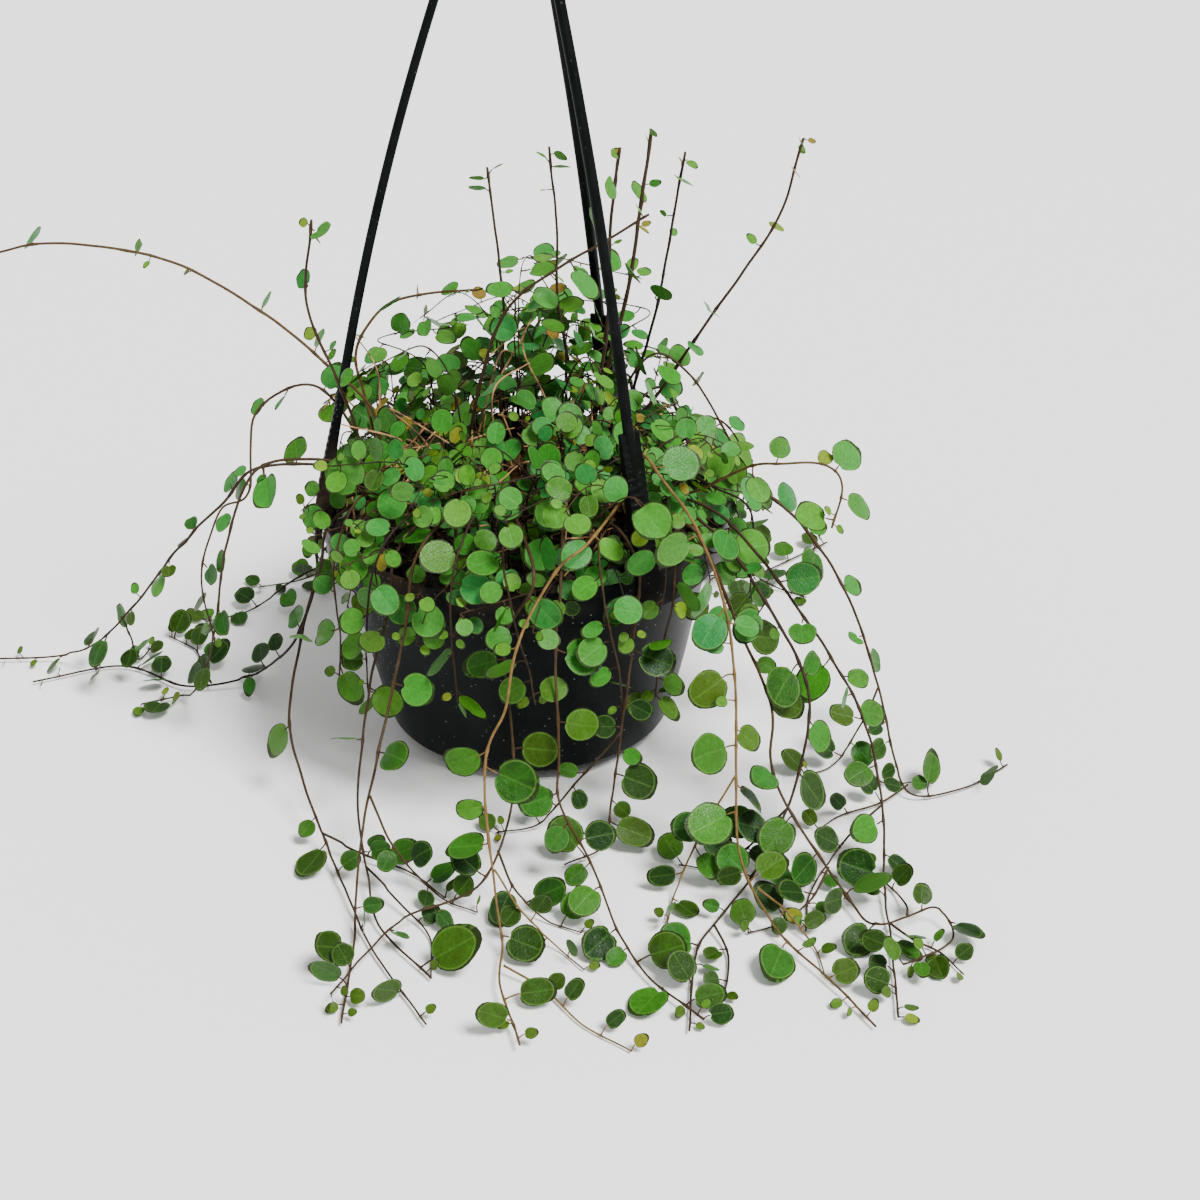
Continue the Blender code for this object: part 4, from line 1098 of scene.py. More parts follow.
@dataclass
class Hanger:
    """The moulded hanger: three bowed straps with ribbed clips over the rim, a hub and a hook."""

    pot: Pot
    azimuths: tuple[int, ...] = (185, 305, 65)
    hub_height: float = 440 * MM
    hub_radius: float = 8 * MM
    hub_thickness: float = 8 * MM
    hub_sides: int = 32
    strap_width: float = 4.6 * MM
    strap_thickness: float = 4.4 * MM
    strap_bow: float = 9 * MM
    strap_edge: float = 1.6 * MM
    cad_spans: int = 8
    spans: int = 28
    strap_inset: float = 2 * MM
    clip_width: float = 10 * MM
    clip_wall: float = 1.9 * MM
    clip_rise: float = 64 * MM
    clip_drop: float = 17 * MM
    clip_inside: float = 7 * MM
    clip_edge: float = 0.2 * MM
    clip_line: tuple = ((99, 100), (99, 112), (99, 124), (95, 144), (90, 166), (85, 190))
    leaf_room: float = 2.6 * MM
    ribs: int = 14
    rib_height: float = 0.5 * MM
    rib_profile: tuple = ((0.1, 0), (0.3, 1), (0.6, 1), (0.8, 0))
    stalk_radius: float = 2.6 * MM
    stalk_length: float = 13 * MM
    hook_radius: float = 13 * MM
    hook_thickness: float = 4 * MM
    hook_edge: float = 1.2 * MM
    hook_centre: float = 25 * MM
    hook_start: float = -100
    hook_turn: float = 252
    hook_spans: int = 36
    smooth_below: float = 35

    def strap_line(self, spans: int) -> list[Vector]:
        """Draws the strap's middle line in its own plane, from the hub down to the clip.

        Args:
            spans: how many straight runs it has.

        Returns:
            Its points as (distance from the axis, height).
        """
        top = Vector((self.hub_radius * 0.5, self.hub_height))
        foot = Vector((self.pot.rim_radius - self.strap_inset, self.pot.height + self.strap_inset))
        out = Vector((top.y - foot.y, foot.x - top.x)).normalized()
        points = []
        for i in range(spans + 1):
            share = i / spans
            bow = self.strap_bow * math.sin(math.pi * share)
            points.append(top.lerp(foot, share) + out * bow)
        return points

    def obstacles(self) -> list[BVHTree]:
        """Lays tubes round the straps and clips, with room for the swing of a leaf.

        Returns:
            A tube for each.
        """
        found = []
        for azimuth in self.azimuths:
            line = [polar(azimuth, p.x / MM, p.y / MM) for p in self.strap_line(self.cad_spans)]
            found.append(tube_proxy(line, self.strap_width * 0.5 + self.leaf_room))
            clip = [polar(azimuth, *point) for point in self.clip_line]
            found.append(tube_proxy(clip, self.clip_width * 0.5 + self.leaf_room))
        return found

    def strap_outline(self) -> list[Vector]:
        """Draws both edges of a strap, which is a little thinner towards the hub.

        Returns:
            Its corners as (distance from the axis, height).
        """
        line = self.strap_line(self.spans)
        left, right = [], []
        for i, point in enumerate(line):
            along = (line[min(i + 1, len(line) - 1)] - line[max(i - 1, 0)]).normalized()
            share = i / self.spans
            across = Vector((-along.y, along.x)) * self.strap_thickness * (0.42 + 0.1 * share)
            left.append(point + across)
            right.append(point - across)
        return left + right[::-1]

    def clip_outline(self) -> list[Sequence[float]]:
        """Draws the clip from the side: a ribbed tongue inside the bow that folds over the rim.

        Returns:
            Its corners as (distance from the axis, height).
        """
        pot = self.pot
        lean = (pot.rim_radius - pot.collar_foot_radius) * self.clip_inside
        lean /= pot.height - pot.collar_foot
        facet = math.cos(math.pi / pot.cad_steps)
        inner = (pot.rim_radius - lean - pot.wall) * facet - 1.5 * GAP
        outer = pot.rim_radius + GAP
        wall = self.clip_wall
        roof = pot.height + GAP
        line = self.strap_line(self.cad_spans)
        rise = (line[-2] - line[-1]).normalized() * self.clip_rise
        corner = Vector((outer + wall, roof + wall))
        head = Vector((inner + wall + rise.x, roof + wall + rise.y))
        normal = Vector((rise.y, -rise.x)).normalized() * self.rib_height
        ribs = []
        for i in range(self.ribs):
            for share, lift in self.rib_profile:
                point = corner.lerp(head, 0.12 + 0.82 * (i + share) / self.ribs) + normal * lift
                ribs.append(tuple(point))
        return [
            (inner - wall, roof - self.clip_inside),
            (inner, roof - self.clip_inside),
            (inner, roof),
            (outer, roof),
            (outer, roof - self.clip_drop),
            (outer + wall, roof - self.clip_drop),
            tuple(corner),
            *ribs,
            tuple(head),
            (inner - 0.2 * wall + rise.x, roof + wall + rise.y),
            (inner - wall, roof + wall),
        ]

    def hook_outline(self) -> list[Vector]:
        """Draws a ring that is open on one side, as a flat hook.

        Returns:
            Its corners as (distance from the axis, height).
        """
        centre = Vector((0.0, self.hub_height + self.hook_centre))
        outer, inner = [], []
        for i in range(self.hook_spans + 1):
            angle = math.radians(self.hook_start + self.hook_turn * i / self.hook_spans)
            along = Vector((math.cos(angle), math.sin(angle)))
            outer.append(centre + along * (self.hook_radius + self.hook_thickness / 2))
            inner.append(centre + along * (self.hook_radius - self.hook_thickness / 2))
        return outer + inner[::-1]

    def plate(self, name: str, outline: Sequence[Sequence[float]], width: float, azimuth: float,
              rounding: float) -> Piece:
        """Makes a plate that stands up at an azimuth, with rounded edges.

        Args:
            name: the object's name.
            outline: its side view, as (distance from the axis, height).
            width: across the side view.
            azimuth: the way the plate points, in degrees.
            rounding: the radius of its edges.

        Returns:
            The plate.
        """
        plate = cut_plate(name, outline, width)
        upright = Matrix.Rotation(math.pi / 2, 4, "X")
        plate.data.transform(Matrix.Rotation(math.radians(azimuth), 4, "Z") @ upright)
        round_edges(plate, rounding, 40)
        return plate

    def build(self, plastic: Material) -> Piece:
        """Models the hub, hook, straps and clips and unites them.

        Args:
            plastic: the hanger's material.

        Returns:
            The finished hanger.
        """
        half = self.hub_thickness / 2
        hub = [
            (self.hub_radius - 1.5 * MM, -half),
            (self.hub_radius, -half + MM),
            (self.hub_radius, half - MM),
            (self.hub_radius - 1.5 * MM, half),
            (self.stalk_radius + MM, half + 0.6 * MM),
            (self.stalk_radius, half + 2 * MM),
            (self.stalk_radius, self.stalk_length),
        ]
        rings = [(radius, self.hub_height + height) for radius, height in hub]
        hanger = turn_rings("hanger_moulded", rings, self.hub_sides)
        parts = [self.plate("hook", self.hook_outline(), self.hook_thickness, 0, self.hook_edge)]
        for azimuth in self.azimuths:
            parts.append(self.plate(f"strap_{azimuth}", self.strap_outline(), self.strap_width,
                                    azimuth, self.strap_edge))
            parts.append(self.plate(f"clip_{azimuth}", self.clip_outline(), self.clip_width,
                                    azimuth, self.clip_edge))
        unite(hanger, parts)
        return dress(hanger, plastic, self.smooth_below)


# Growth: where every stem and leaf is


def smooth_line(points: Sequence[Vector], steps: int = 10) -> list[Vector]:
    """Runs a curve through points.

    Args:
        points: the places that it passes.
        steps: how many short straight runs it takes between two of them.

    Returns:
        The curve's points.
    """
    line = []
    ends = [points[0] * 2 - points[1], *points, points[-1] * 2 - points[-2]]
    for a, b, c, d in zip(ends, ends[1:], ends[2:], ends[3:]):
        for i in range(steps):
            t = i / steps
            line.append(
                b + (c - a) * (t / 2) + (a * 2 - b * 5 + c * 4 - d) * (t * t / 2)
                + (b * 3 - a - c * 3 + d) * (t**3 / 2)
            )
    line.append(points[-1].copy())
    return line


class Line:
    """A line of straight runs that can be read at any share of its length."""

    def __init__(self, points: Sequence[Vector]) -> None:
        """Measures the line.

        Args:
            points: its places, in order.
        """
        self.points = points
        self.reach = [0.0]
        for a, b in zip(points, points[1:]):
            self.reach.append(self.reach[-1] + (b - a).length)
        self.length = self.reach[-1]

    def at(self, share: float) -> tuple[Vector, Vector]:
        """Finds a place on the line.

        Args:
            share: how far along it, as a share of its length.

        Returns:
            The point, and the direction there.
        """
        wanted = min(max(share, 0.0), 1.0) * self.length
        i = 1
        while i < len(self.reach) - 1 and self.reach[i] < wanted:
            i += 1
        span = max(self.reach[i] - self.reach[i - 1], 1e-9)
        a, b = self.points[i - 1], self.points[i]
        return a.lerp(b, (wanted - self.reach[i - 1]) / span), (b - a).normalized()


def fewer_points(points: Sequence[Vector], slack: float) -> list[Vector]:
    """Leaves out the points that a line can do without.

    Args:
        points: the line.
        slack: how far the kept line may be from any point.

    Returns:
        The points that are kept.
    """
    a, b = points[0], points[-1]
    along = (b - a).normalized()
    away = [((p - a) - along * (p - a).dot(along)).length for p in points]
    worst = max(range(len(points)), key=away.__getitem__)
    if away[worst] <= slack:
        return [a, b]
    return fewer_points(points[: worst + 1], slack)[:-1] + fewer_points(points[worst:], slack)


def even_leaves(count: int, first: float, last: float, size: float, rng: Chance) -> Buds:
    """Spaces leaves at even steps with a little play, on alternate sides.

    Args:
        count: how many.
        first: the first one's share of the length.
        last: the last one's share.
        size: their usual size in mm.
        rng: the stem's own chance.

    Returns:
        The leaves as (share of length, size in mm) by side.
    """
    step = (last - first) / max(count - 1, 1)
    found = []
    for i in range(count):
        share = min(first + step * (i + rng.uniform(-0.25, 0.25)), 0.985)
        grown = size * (1.12 - 0.26 * share) * rng.uniform(0.88, 1.1)
        found.append((share * (-1) ** i, grown))
    return found


def sleeve(places: Sequence[Vector], sides: int) -> BVHTree:
    """Joins rings of places to an open tube for clearance tests.

    Args:
        places: all rings, one after the other.
        sides: how many places a ring has.

    Returns:
        The tube.
    """
    faces = []
    for start in range(0, len(places) - sides, sides):
        for k in range(sides):
            a, b = start + k, start + (k + 1) % sides
            faces.append((a, b, b + sides, a + sides))
    return BVHTree.FromPolygons(places, faces)


def tube_proxy(points: Sequence[Vector], radius: float) -> BVHTree:
    """Lays a square tube round a line for clearance tests.

    Args:
        points: the line.
        radius: everything within it is inside the tube.

    Returns:
        The tube.
    """
    places = []
    for i, point in enumerate(points):
        along = points[min(i + 1, len(points) - 1)] - points[max(i - 1, 0)]
        turn = along.to_track_quat("Z", "Y")
        for k in range(4):
            angle = math.pi / 4 + k * math.pi / 2
            places.append(point + turn @ Vector((math.cos(angle), math.sin(angle), 0.0)) * radius)
    return sleeve(places, 4)


def turned_proxy(profile: Sequence[tuple[float, float]], steps: int = 36) -> BVHTree:
    """Turns a surface for clearance tests.

    Args:
        profile: the (radius, height) of each ring.
        steps: how many sides a ring has.

    Returns:
        The surface.
    """
    places = [polar(360 * k / steps, radius / MM, height / MM)
              for radius, height in profile for k in range(steps)]
    return sleeve(places, steps)


def jittered(route: Route, rng: Chance, amount: float) -> Route:
    """Moves a route's points a little. What lies on the surface stays on it.

    Args:
        route: the planned route.
        rng: the stem's own chance.
        amount: how far, in mm.

    Returns:
        The moved route.
    """
    moved = []
    for azimuth, radius, height in route:
        on_floor = height < 7
        radius += rng.uniform(-1, 1) * amount
        azimuth += rng.uniform(-1, 1) * amount * 40 / max(radius, 40)
        lift = rng.uniform(-1, 1)
        height += abs(lift) * amount * 0.4 if on_floor else lift * amount
        moved.append((azimuth, radius, height))
    return moved


def cascade_route(azimuth: float, rng: Chance) -> Route:
    """Plans a short stem that hangs over the rim in front of the wall.

    Args:
        azimuth: where it crosses the rim.
        rng: the plan's chance.

    Returns:
        Its route.
    """
    drift = rng.uniform(-10, 10)
    low = rng.uniform(52, 78)
    return [
        (azimuth, 76, 136 + rng.uniform(0, 10)),
        (azimuth, 96, 144 + rng.uniform(-4, 8)),
        (azimuth + drift * 0.2, 111, 132),
        (azimuth + drift * 0.5, 114, 108),
        (azimuth + drift * 0.8, 112, (108 + low) / 2),
        (azimuth + drift, 108 + rng.uniform(0, 8), low),
    ]


def trail_route(azimuth: float, rng: Chance) -> Route:
    """Plans a long stem that goes over the rim, down to the surface and away from the pot.

    Args:
        azimuth: where it crosses the rim.
        rng: the plan's chance.

    Returns:
        Its route.
    """
    drift = rng.uniform(-16, 16)
    reach = rng.uniform(215, 275)
    return [
        (azimuth, 78, 140),
        (azimuth, 102, 138 + rng.uniform(0, 8)),
        (azimuth + drift * 0.1, 120, 116),
        (azimuth + drift * 0.25, 134, 78),
        (azimuth + drift * 0.4, 150, 38),
        (azimuth + drift * 0.6, 168, 10),
        (azimuth + drift * 0.8, 190, 4),
        (azimuth + drift, (190 + reach) / 2, 3),
        (azimuth + drift * 1.3, reach, 3),
    ]


def crown_route(i: int, rng: Chance) -> Route:
    """Plans a short leafy shoot of the mound above the rim.

    Args:
        i: its number, which places it.
        rng: the plan's chance.

    Returns:
        Its route.
    """
    azimuth = GOLDEN_ANGLE * i + 30
    radius = 6 + 54 * math.sqrt((i + 0.5) / CROWN_SHOOTS)
    lean = 0.35 + radius / 70
    top = 186 - 0.4 * radius + CROWN_RISE * max(0.0, math.sin(math.radians(azimuth)))
    return [
        (azimuth, radius + 4, 140),
        (azimuth + rng.uniform(-14, 14), radius + 9 * lean, (140 + top) / 2 + 4),
        (azimuth + rng.uniform(-24, 24), radius + 20 * lean, top),
        (azimuth + rng.uniform(-34, 34), radius + 34 * lean, top - 5),
    ]


def side_route(line: Line, share: float, rng: Chance) -> list[Vector]:
    """Plans a side shoot that leans away from its stem.

    Args:
        line: the stem.
        share: where it forks off, as a share of the stem's length.
        rng: the stem's own chance.

    Returns:
        The places that it passes.
    """
    start = line.at(share)[0]
    turn = Matrix.Rotation(math.radians(rng.choice((-1, 1)) * rng.uniform(60, 150)), 3, "Z")
    away = turn @ Vector((start.x, start.y, 0)).normalized()
    reach = rng.uniform(34, 46) * MM
    rise = Vector((0, 0, reach * 0.35))
    return [start, start + away * reach * 0.5 + rise, start + away * reach + rise]


def all_stems() -> list[tuple[Stem, float | None]]:
    """Plans every stem of the solids, in the order of placing.

    Returns:
        Each stem with the share where it forks, if it does.
    """
    rng = random.Random(SEED)
    stems: list[tuple[Stem, float | None]] = [(stem, None) for stem in LONG_STEMS]
    for i, azimuth in enumerate(TRAIL_AZIMUTHS, 1):
        route = trail_route(azimuth, rng)
        stems.append((Stem(f"trail_back_{i}", route, even_leaves(4, 0.22, 0.95, 16, rng)), None))
    for i, azimuth in enumerate(CASCADE_AZIMUTHS, 1):
        route = cascade_route(azimuth, rng)
        stems.append((Stem(f"cascade_{i:02d}", route, even_leaves(4, 0.34, 0.97, 16, rng)), None))
    for i in range(CROWN_SHOOTS):
        route = crown_route(i, rng)
        leaves = even_leaves(5, 0.26, 0.97, 12.5, rng)
        stems.append((Stem(f"crown_{i + 1:02d}", route, leaves), CROWN_FORK))
    return stems


class Shoot:
    """One length of stem: its bends, and where its leaves grow."""

    def __init__(self, points: Sequence[Vector], buds: Buds, root: Vector | None = None) -> None:
        """Lays the shoot through its points.

        Args:
            points: what the stem passes.
            buds: its leaves as (share of length, size in mm) by side.
            root: the end of the straight run that stands in the soil, if it has one.
        """
        self.smooth = smooth_line(points)
        self.corners = fewer_points(self.smooth, STEM_SLACK)
        self.line = Line(self.corners)
        self.buds = buds
        self.root = root
        self.leaves: list[Leaf] = []
        self.proxy: BVHTree | None = None

    def clear_of(self, others: Sequence[BVHTree]) -> bool:
        """Tests whether the stem touches nothing. If so, it keeps its tube for later tests.

        Args:
            others: what it has to stay clear of.

        Returns:
            Whether it is clear.
        """
        if min(point.z for point in self.corners) < STEM_RADIUS + FLOOR_CLEARANCE:
            return False
        whole = ([self.root] if self.root else []) + self.corners
        proxy = tube_proxy(whole, STEM_RADIUS + CLEARANCE)
        if any(proxy.overlap(other) for other in others):
            return False
        self.proxy = proxy
        return True


def blade_outline(corners: int) -> list[tuple[float, float]]:
    """Draws the flat outline of a solid's blade without its stalk's root, along +X.

    Args:
        corners: how many corners its round part has.

    Returns:
        The corners in order.
    """
    half = PETIOLE_WIDTH / 2
    outline = [(PETIOLE_LENGTH, -half)]
    for i in range(corners):
        angle = math.radians(-180 + 360 * (i + 1) / (corners + 1))
        along = BLADE_MIDDLE + math.cos(angle) * BLADE_LENGTH / 2
        outline.append((along, math.sin(angle) * BLADE_WIDTH / 2))
    return outline + [(PETIOLE_LENGTH, half)]


def leaf_proxy(matrix: Matrix, corners: int) -> tuple[BVHTree, float]:
    """Makes a thick flat stand-in for a leaf, a little larger than it is.

    Args:
        matrix: the leaf's place, turn and size.
        corners: how many corners its solid has.

    Returns:
        The stand-in, and its lowest height.
    """
    grown = 1.0 + 0.6 * MM / (BLADE_SIZE / 2)
    half = (BLADE_THICKNESS / 2 + CLEARANCE) * UP
    middle = Vector((BLADE_MIDDLE, 0, 0))
    flat = [Vector((x, y, 0)) for x, y in blade_outline(corners)]
    flat = [middle + (p - middle) * grown for p in flat]
    count = len(flat)
    verts = [matrix @ (p + half) for p in flat] + [matrix @ (p - half) for p in flat]
    faces = [tuple(range(count)), tuple(range(2 * count - 1, count - 1, -1))]
    faces += [(i, i + count, (i + 1) % count + count, (i + 1) % count) for i in range(count)]
    return BVHTree.FromPolygons(verts, faces), min(v.z for v in verts)


def leaf_frame(place: Vector, along: Vector, side: float, rng: Chance, play: float,
               facing: Facing) -> Matrix:
    """Turns a leaf: its stalk leaves the stem sideways, and its face turns to the light.

    Args:
        place: where it grows.
        along: the stem's direction there.
        side: 1 or -1.
        rng: the stem's own chance.
        play: how far it may turn from that.
        facing: where the light is.

    Returns:
        The leaf's axes.
    """
    out = Vector((place.x, place.y, 0)).normalized()
    light = (out * facing.out + Vector((0.0, facing.along_y, facing.up))).normalized()
    across = along.cross(light)
    across = across.normalized() * side if across.length > 0.1 else out.cross(UP)
    wobble = scatter(rng)
    stalk = (across + along * rng.uniform(0.1, 0.7) + wobble * 0.22 * play).normalized()
    face = light + scatter(rng) * 0.3 * play
    face = (face - stalk * face.dot(stalk)).normalized()
    return Matrix((stalk, face.cross(stalk), face)).transposed()


@dataclass
class Plant:
    """The whole vine: it places the stems and leaves of the solids, and then the finer growth."""

    pot: Pot
    bed: SoilBed
    hanger: Hanger
    shoot_tries: int = 30
    fillers: int = 98
    filler_groups: int = 5
    filler_sink: float = -3 * MM
    filler_leaf_tries: int = 12
    rim_fillers: int = 20
    dry_shoots: int = 120
    dry_places: tuple = ((188, 16, 50, 84), (100, 60, 8, 80))
    floor_forks: tuple[float, float] = (0.66, 0.82)
    floor_steps: tuple = ((0.3, 0.55), (0.35, 0.1), (0.35, 0.0))
    floor_leaf_tries: int = 16
    front_span: tuple[float, float] = (-100 * MM, 190 * MM)
    front_from: float = -30 * MM
    small_stalk: float = 2.4 * MM
    gap_leaf_tries: int = 10
    tip_leaf_tries: int = 8
    tip_shares: tuple[float, float] = (0.96, -0.985)
    at_stem: Facing = Facing(0.75, -0.3, 0.75)
    to_light: Facing = Facing(0.35, -0.55, 0.75)
    shoots: dict[str, list[Shoot]] = field(default_factory=dict)
    roots: list[Vector] = field(default_factory=list)
    obstacles: list[BVHTree] = field(default_factory=list)
    stems: list[BVHTree] = field(default_factory=list)
    placed: list[Leaf] = field(default_factory=list)
    dry: list[Shoot] = field(default_factory=list)

    def grow(self) -> None:
        """Places all stems, then all leaves, as the solids have them, and then the finer growth."""
        self.obstacles = [self.pot.obstacle(), *self.hanger.obstacles()]
        for stem, fork in all_stems():
            self.shoots[stem.name] = self.place_stem(stem, fork)
        self.obstacles.append(self.bed.obstacle())
        for name, shoots in self.shoots.items():
            rng = random.Random(f"{SEED} leaves of {name}")
            for shoot in shoots:
                for share, size in shoot.buds:
                    self.grow_leaf(shoot, share, size, rng, LEAF_TRIES, 0.0, self.at_stem)
        LOG.info("%d leaves as in the solids", len(self.placed))
        self.add_dry_shoots()
        self.add_fillers()
        self.add_floor_shoots()
        self.add_small_leaves()
        LOG.info("%d leaves with the finer growth, %d dry shoots", len(self.placed), len(self.dry))

    def root_place(self, azimuth: float, radius: float) -> Vector:
        """Finds the nearest free place for a stem's hole, next to the wanted one.

        Args:
            azimuth: the wanted azimuth.
            radius: the wanted radius in mm.

        Returns:
            The place.
        """
        for turn in range(60):
            shift = (turn + 1) // 2 * 4 * (-1) ** turn
            place = polar(azimuth + shift, min(radius, 80) - 3 * (turn % 3), 0)
            if all((place - other).length > ROOT_SPACING for other in self.roots):
                return place
        raise ValueError("no free place for a stem's hole")

    def place_stem(self, stem: Stem, fork: float | None) -> list[Shoot]:
        """Lays one stem clear of all that was placed before.

        Args:
            stem: its plan.
            fork: the share of its length where a side shoot leaves it, if it has one.

        Returns:
            The stem, and its side shoot if it forks.
        """
        rng = random.Random(f"{SEED} {stem.name}")
        root = self.root_place(stem.route[0][0], min(stem.route[0][1], 78) - 4)
        top = self.bed.height(root.x, root.y)
        start = Vector((root.x, root.y, top + STEM_START))
        foot = Vector((root.x, root.y, top - HOLE_DEPTH))
        for turn in range(STEM_TRIES):
            amount = 0.0 if turn == 0 else 1.5 + turn * 0.08
            route = [polar(*point) for point in jittered(stem.route, rng, amount)]
            held = [Vector((p.x, p.y, max(p.z, LOWEST_STEM))) for p in route]
            shoots = [Shoot([start, *held], stem.leaves, foot)]
            if not shoots[0].clear_of(self.obstacles + self.stems):
                continue
            if fork is None:
                break
            side = side_route(shoots[0].line, fork, rng)
            side = Shoot(side, even_leaves(2, 0.55, 0.97, 12.5, rng))
            if side.clear_of(self.obstacles + self.stems):
                shoots.append(side)
                break
        else:
            raise ValueError(f"{stem.name} finds no clear way")
        self.roots.append(Vector((root.x, root.y, 0)))
        self.stems += [shoot.proxy for shoot in shoots]
        return shoots

    def is_clear(self, leaf: Leaf) -> bool:
        """Tests whether a leaf touches no other leaf, no stem and nothing else.

        Args:
            leaf: the leaf to place.

        Returns:
            Whether it is clear.
        """
        for other in self.placed:
            near = (other.centre - leaf.centre).length < other.radius + leaf.radius
            if near and other.proxy.overlap(leaf.proxy):
                return False
        return not any(leaf.proxy.overlap(other) for other in self.stems + self.obstacles)

    def grow_leaf(self, shoot: Shoot, share: float, size: float, rng: Chance, tries: int,
                  stalk: float, facing: Facing) -> None:
        """Grows a leaf on a shoot, turned and shrunk a little until it touches nothing.

        Args:
            shoot: what it grows on.
            share: where, as a share of the shoot's length, with the side as its sign.
            size: its width in mm.
            rng: the shoot's own chance.
            tries: after how many turns it is left out.
            stalk: the least length of its stalk.
            facing: which way its face turns.
        """
        place, along = shoot.line.at(abs(share))
        side = math.copysign(1, share)
        play = LOOSE_PLAY if rng.random() < LOOSE_SHARE else LEAF_PLAY
        for turn in range(tries):
            grown = size * (1.0 - LEAF_SHRINK * turn / tries)
            axes = leaf_frame(place, along, side, rng, play + turn * PLAY_STEP, facing)
            scale = grown * MM / BLADE_SIZE
            foot = place + axes.col[0] * max(0.0, stalk - PETIOLE_LENGTH * scale)
            matrix = Matrix.Translation(foot) @ axes.to_4x4()
            matrix = matrix @ Matrix.Diagonal((scale, scale, 1, 1))
            proxy, lowest = leaf_proxy(matrix, 5 if grown > BIG_BLADE else 4)
            if lowest < FLOOR_CLEARANCE:
                continue
            centre = matrix @ Vector((BLADE_MIDDLE, 0, 0))
            leaf = Leaf(matrix, centre, 0.6 * grown * MM, proxy, grown, share)
            if self.is_clear(leaf):
                self.placed.append(leaf)
                shoot.leaves.append(leaf)
                return

    def grow_fine(self, name: str, model: Callable[[], Shoot | None], others: list[BVHTree],
                  rng: Chance, tries: int) -> Shoot | None:
        """Grows the first of some tries at a fine shoot that touches nothing, with its leaves.

        Args:
            name: the stem or the group that it belongs to.
            model: lays one try, or none where there is no room.
            others: what it has to stay clear of.
            rng: the shoot's own chance.
            tries: after how many turns a leaf is left out.

        Returns:
            The shoot, or none where no try is clear.
        """
        for _ in range(self.shoot_tries):
            shoot = model()
            if shoot and shoot.clear_of(others):
                self.stems.append(shoot.proxy)
                self.shoots.setdefault(name, []).append(shoot)
                for share, size in shoot.buds:
                    self.grow_leaf(shoot, share, size, rng, tries, self.small_stalk, self.to_light)
                return shoot
        return None

    def add_fillers(self) -> None:
        """Adds the crown's finer shoots, which the solids leave out, in groups."""
        for i in range(self.fillers + self.rim_fillers + 1):
            rng = random.Random(f"{SEED} filler {i}")
            group = f"crown_fill_{i % self.filler_groups + 1}"
            self.grow_fine(group, lambda: self.filler(i, rng), self.obstacles[:-1] + self.stems,
                           rng, self.filler_leaf_tries)

    def filler(self, i: int, rng: Chance) -> Shoot:
        """Lays one fine shoot of the crown: the first covers a clip, and the last ones the rim.

        Args:
            i: its number.
            rng: its own chance.

        Returns:
            The shoot.
        """
        if i == 0:
            route = [polar(*point) for point in jittered(CLIP_COVER, rng, 3)]
            return Shoot(route, CLIP_COVER_BUDS)
        if i <= self.fillers:
            return self.mound_filler(i, rng)
        return self.rim_filler(i - self.fillers - 1, rng)

    def mound_filler(self, i: int, rng: Chance) -> Shoot:
        """Lays a fine shoot that rises from the mound and leans outwards.

        Args:
            i: its number, which places it.
            rng: its own chance.

        Returns:
            The shoot.
        """
        azimuth = GOLDEN_ANGLE * (i + 0.4) + rng.uniform(-14, 14)
        radius = 8 + 72 * math.sqrt(i / self.fillers)
        if BARE_SIDE[0] < azimuth % 360 < BARE_SIDE[1]:
            radius = min(radius, 50)
        back = max(0.0, math.sin(math.radians(azimuth))) ** 4
        top = rng.uniform(136, 184) - 0.2 * radius + rng.uniform(0, 62) * back
        lean = 8 + 0.26 * radius
        route = [
            self.bed.place(azimuth, min(radius, 84), self.filler_sink),
            polar(azimuth + rng.uniform(-8, 8), radius + lean * 0.3, 0.6 * top + 54),
            polar(azimuth + rng.uniform(-16, 16), radius + lean * 0.8, top),
            polar(azimuth + rng.uniform(-26, 26), radius + lean * 1.4, top - rng.uniform(2, 14)),
        ]
        thin = radius > 35 and math.cos(math.radians(azimuth - OPEN_SIDE)) > 0.3
        size = rng.uniform(8.5, 13.5)
        return Shoot(route, even_leaves(6 if thin else 8, 0.26, 0.97, size, rng))

    def rim_filler(self, i: int, rng: Chance) -> Shoot:
        """Lays a fine shoot that creeps over the rim and hangs a little way down.

        Args:
            i: its number along the rim.
            rng: its own chance.

        Returns:
            The shoot.
        """
        green = 360 - BARE_SIDE[1] + BARE_SIDE[0]
        azimuth = BARE_SIDE[1] + green * (i + rng.uniform(0.1, 0.9)) / self.rim_fillers
        drift = rng.uniform(-5, 5)
        route = [
            self.bed.place(azimuth, rng.uniform(74, 84), self.filler_sink),
            polar(azimuth, 92, rng.uniform(126, 134)),
            polar(azimuth + drift, 104, rng.uniform(124, 134)),
            polar(azimuth + 2 * drift, 110, 116),
            polar(azimuth + 3 * drift, rng.uniform(108, 114), rng.uniform(82, 106)),
        ]
        return Shoot(route, even_leaves(7, 0.24, 0.97, rng.uniform(9, 14), rng))

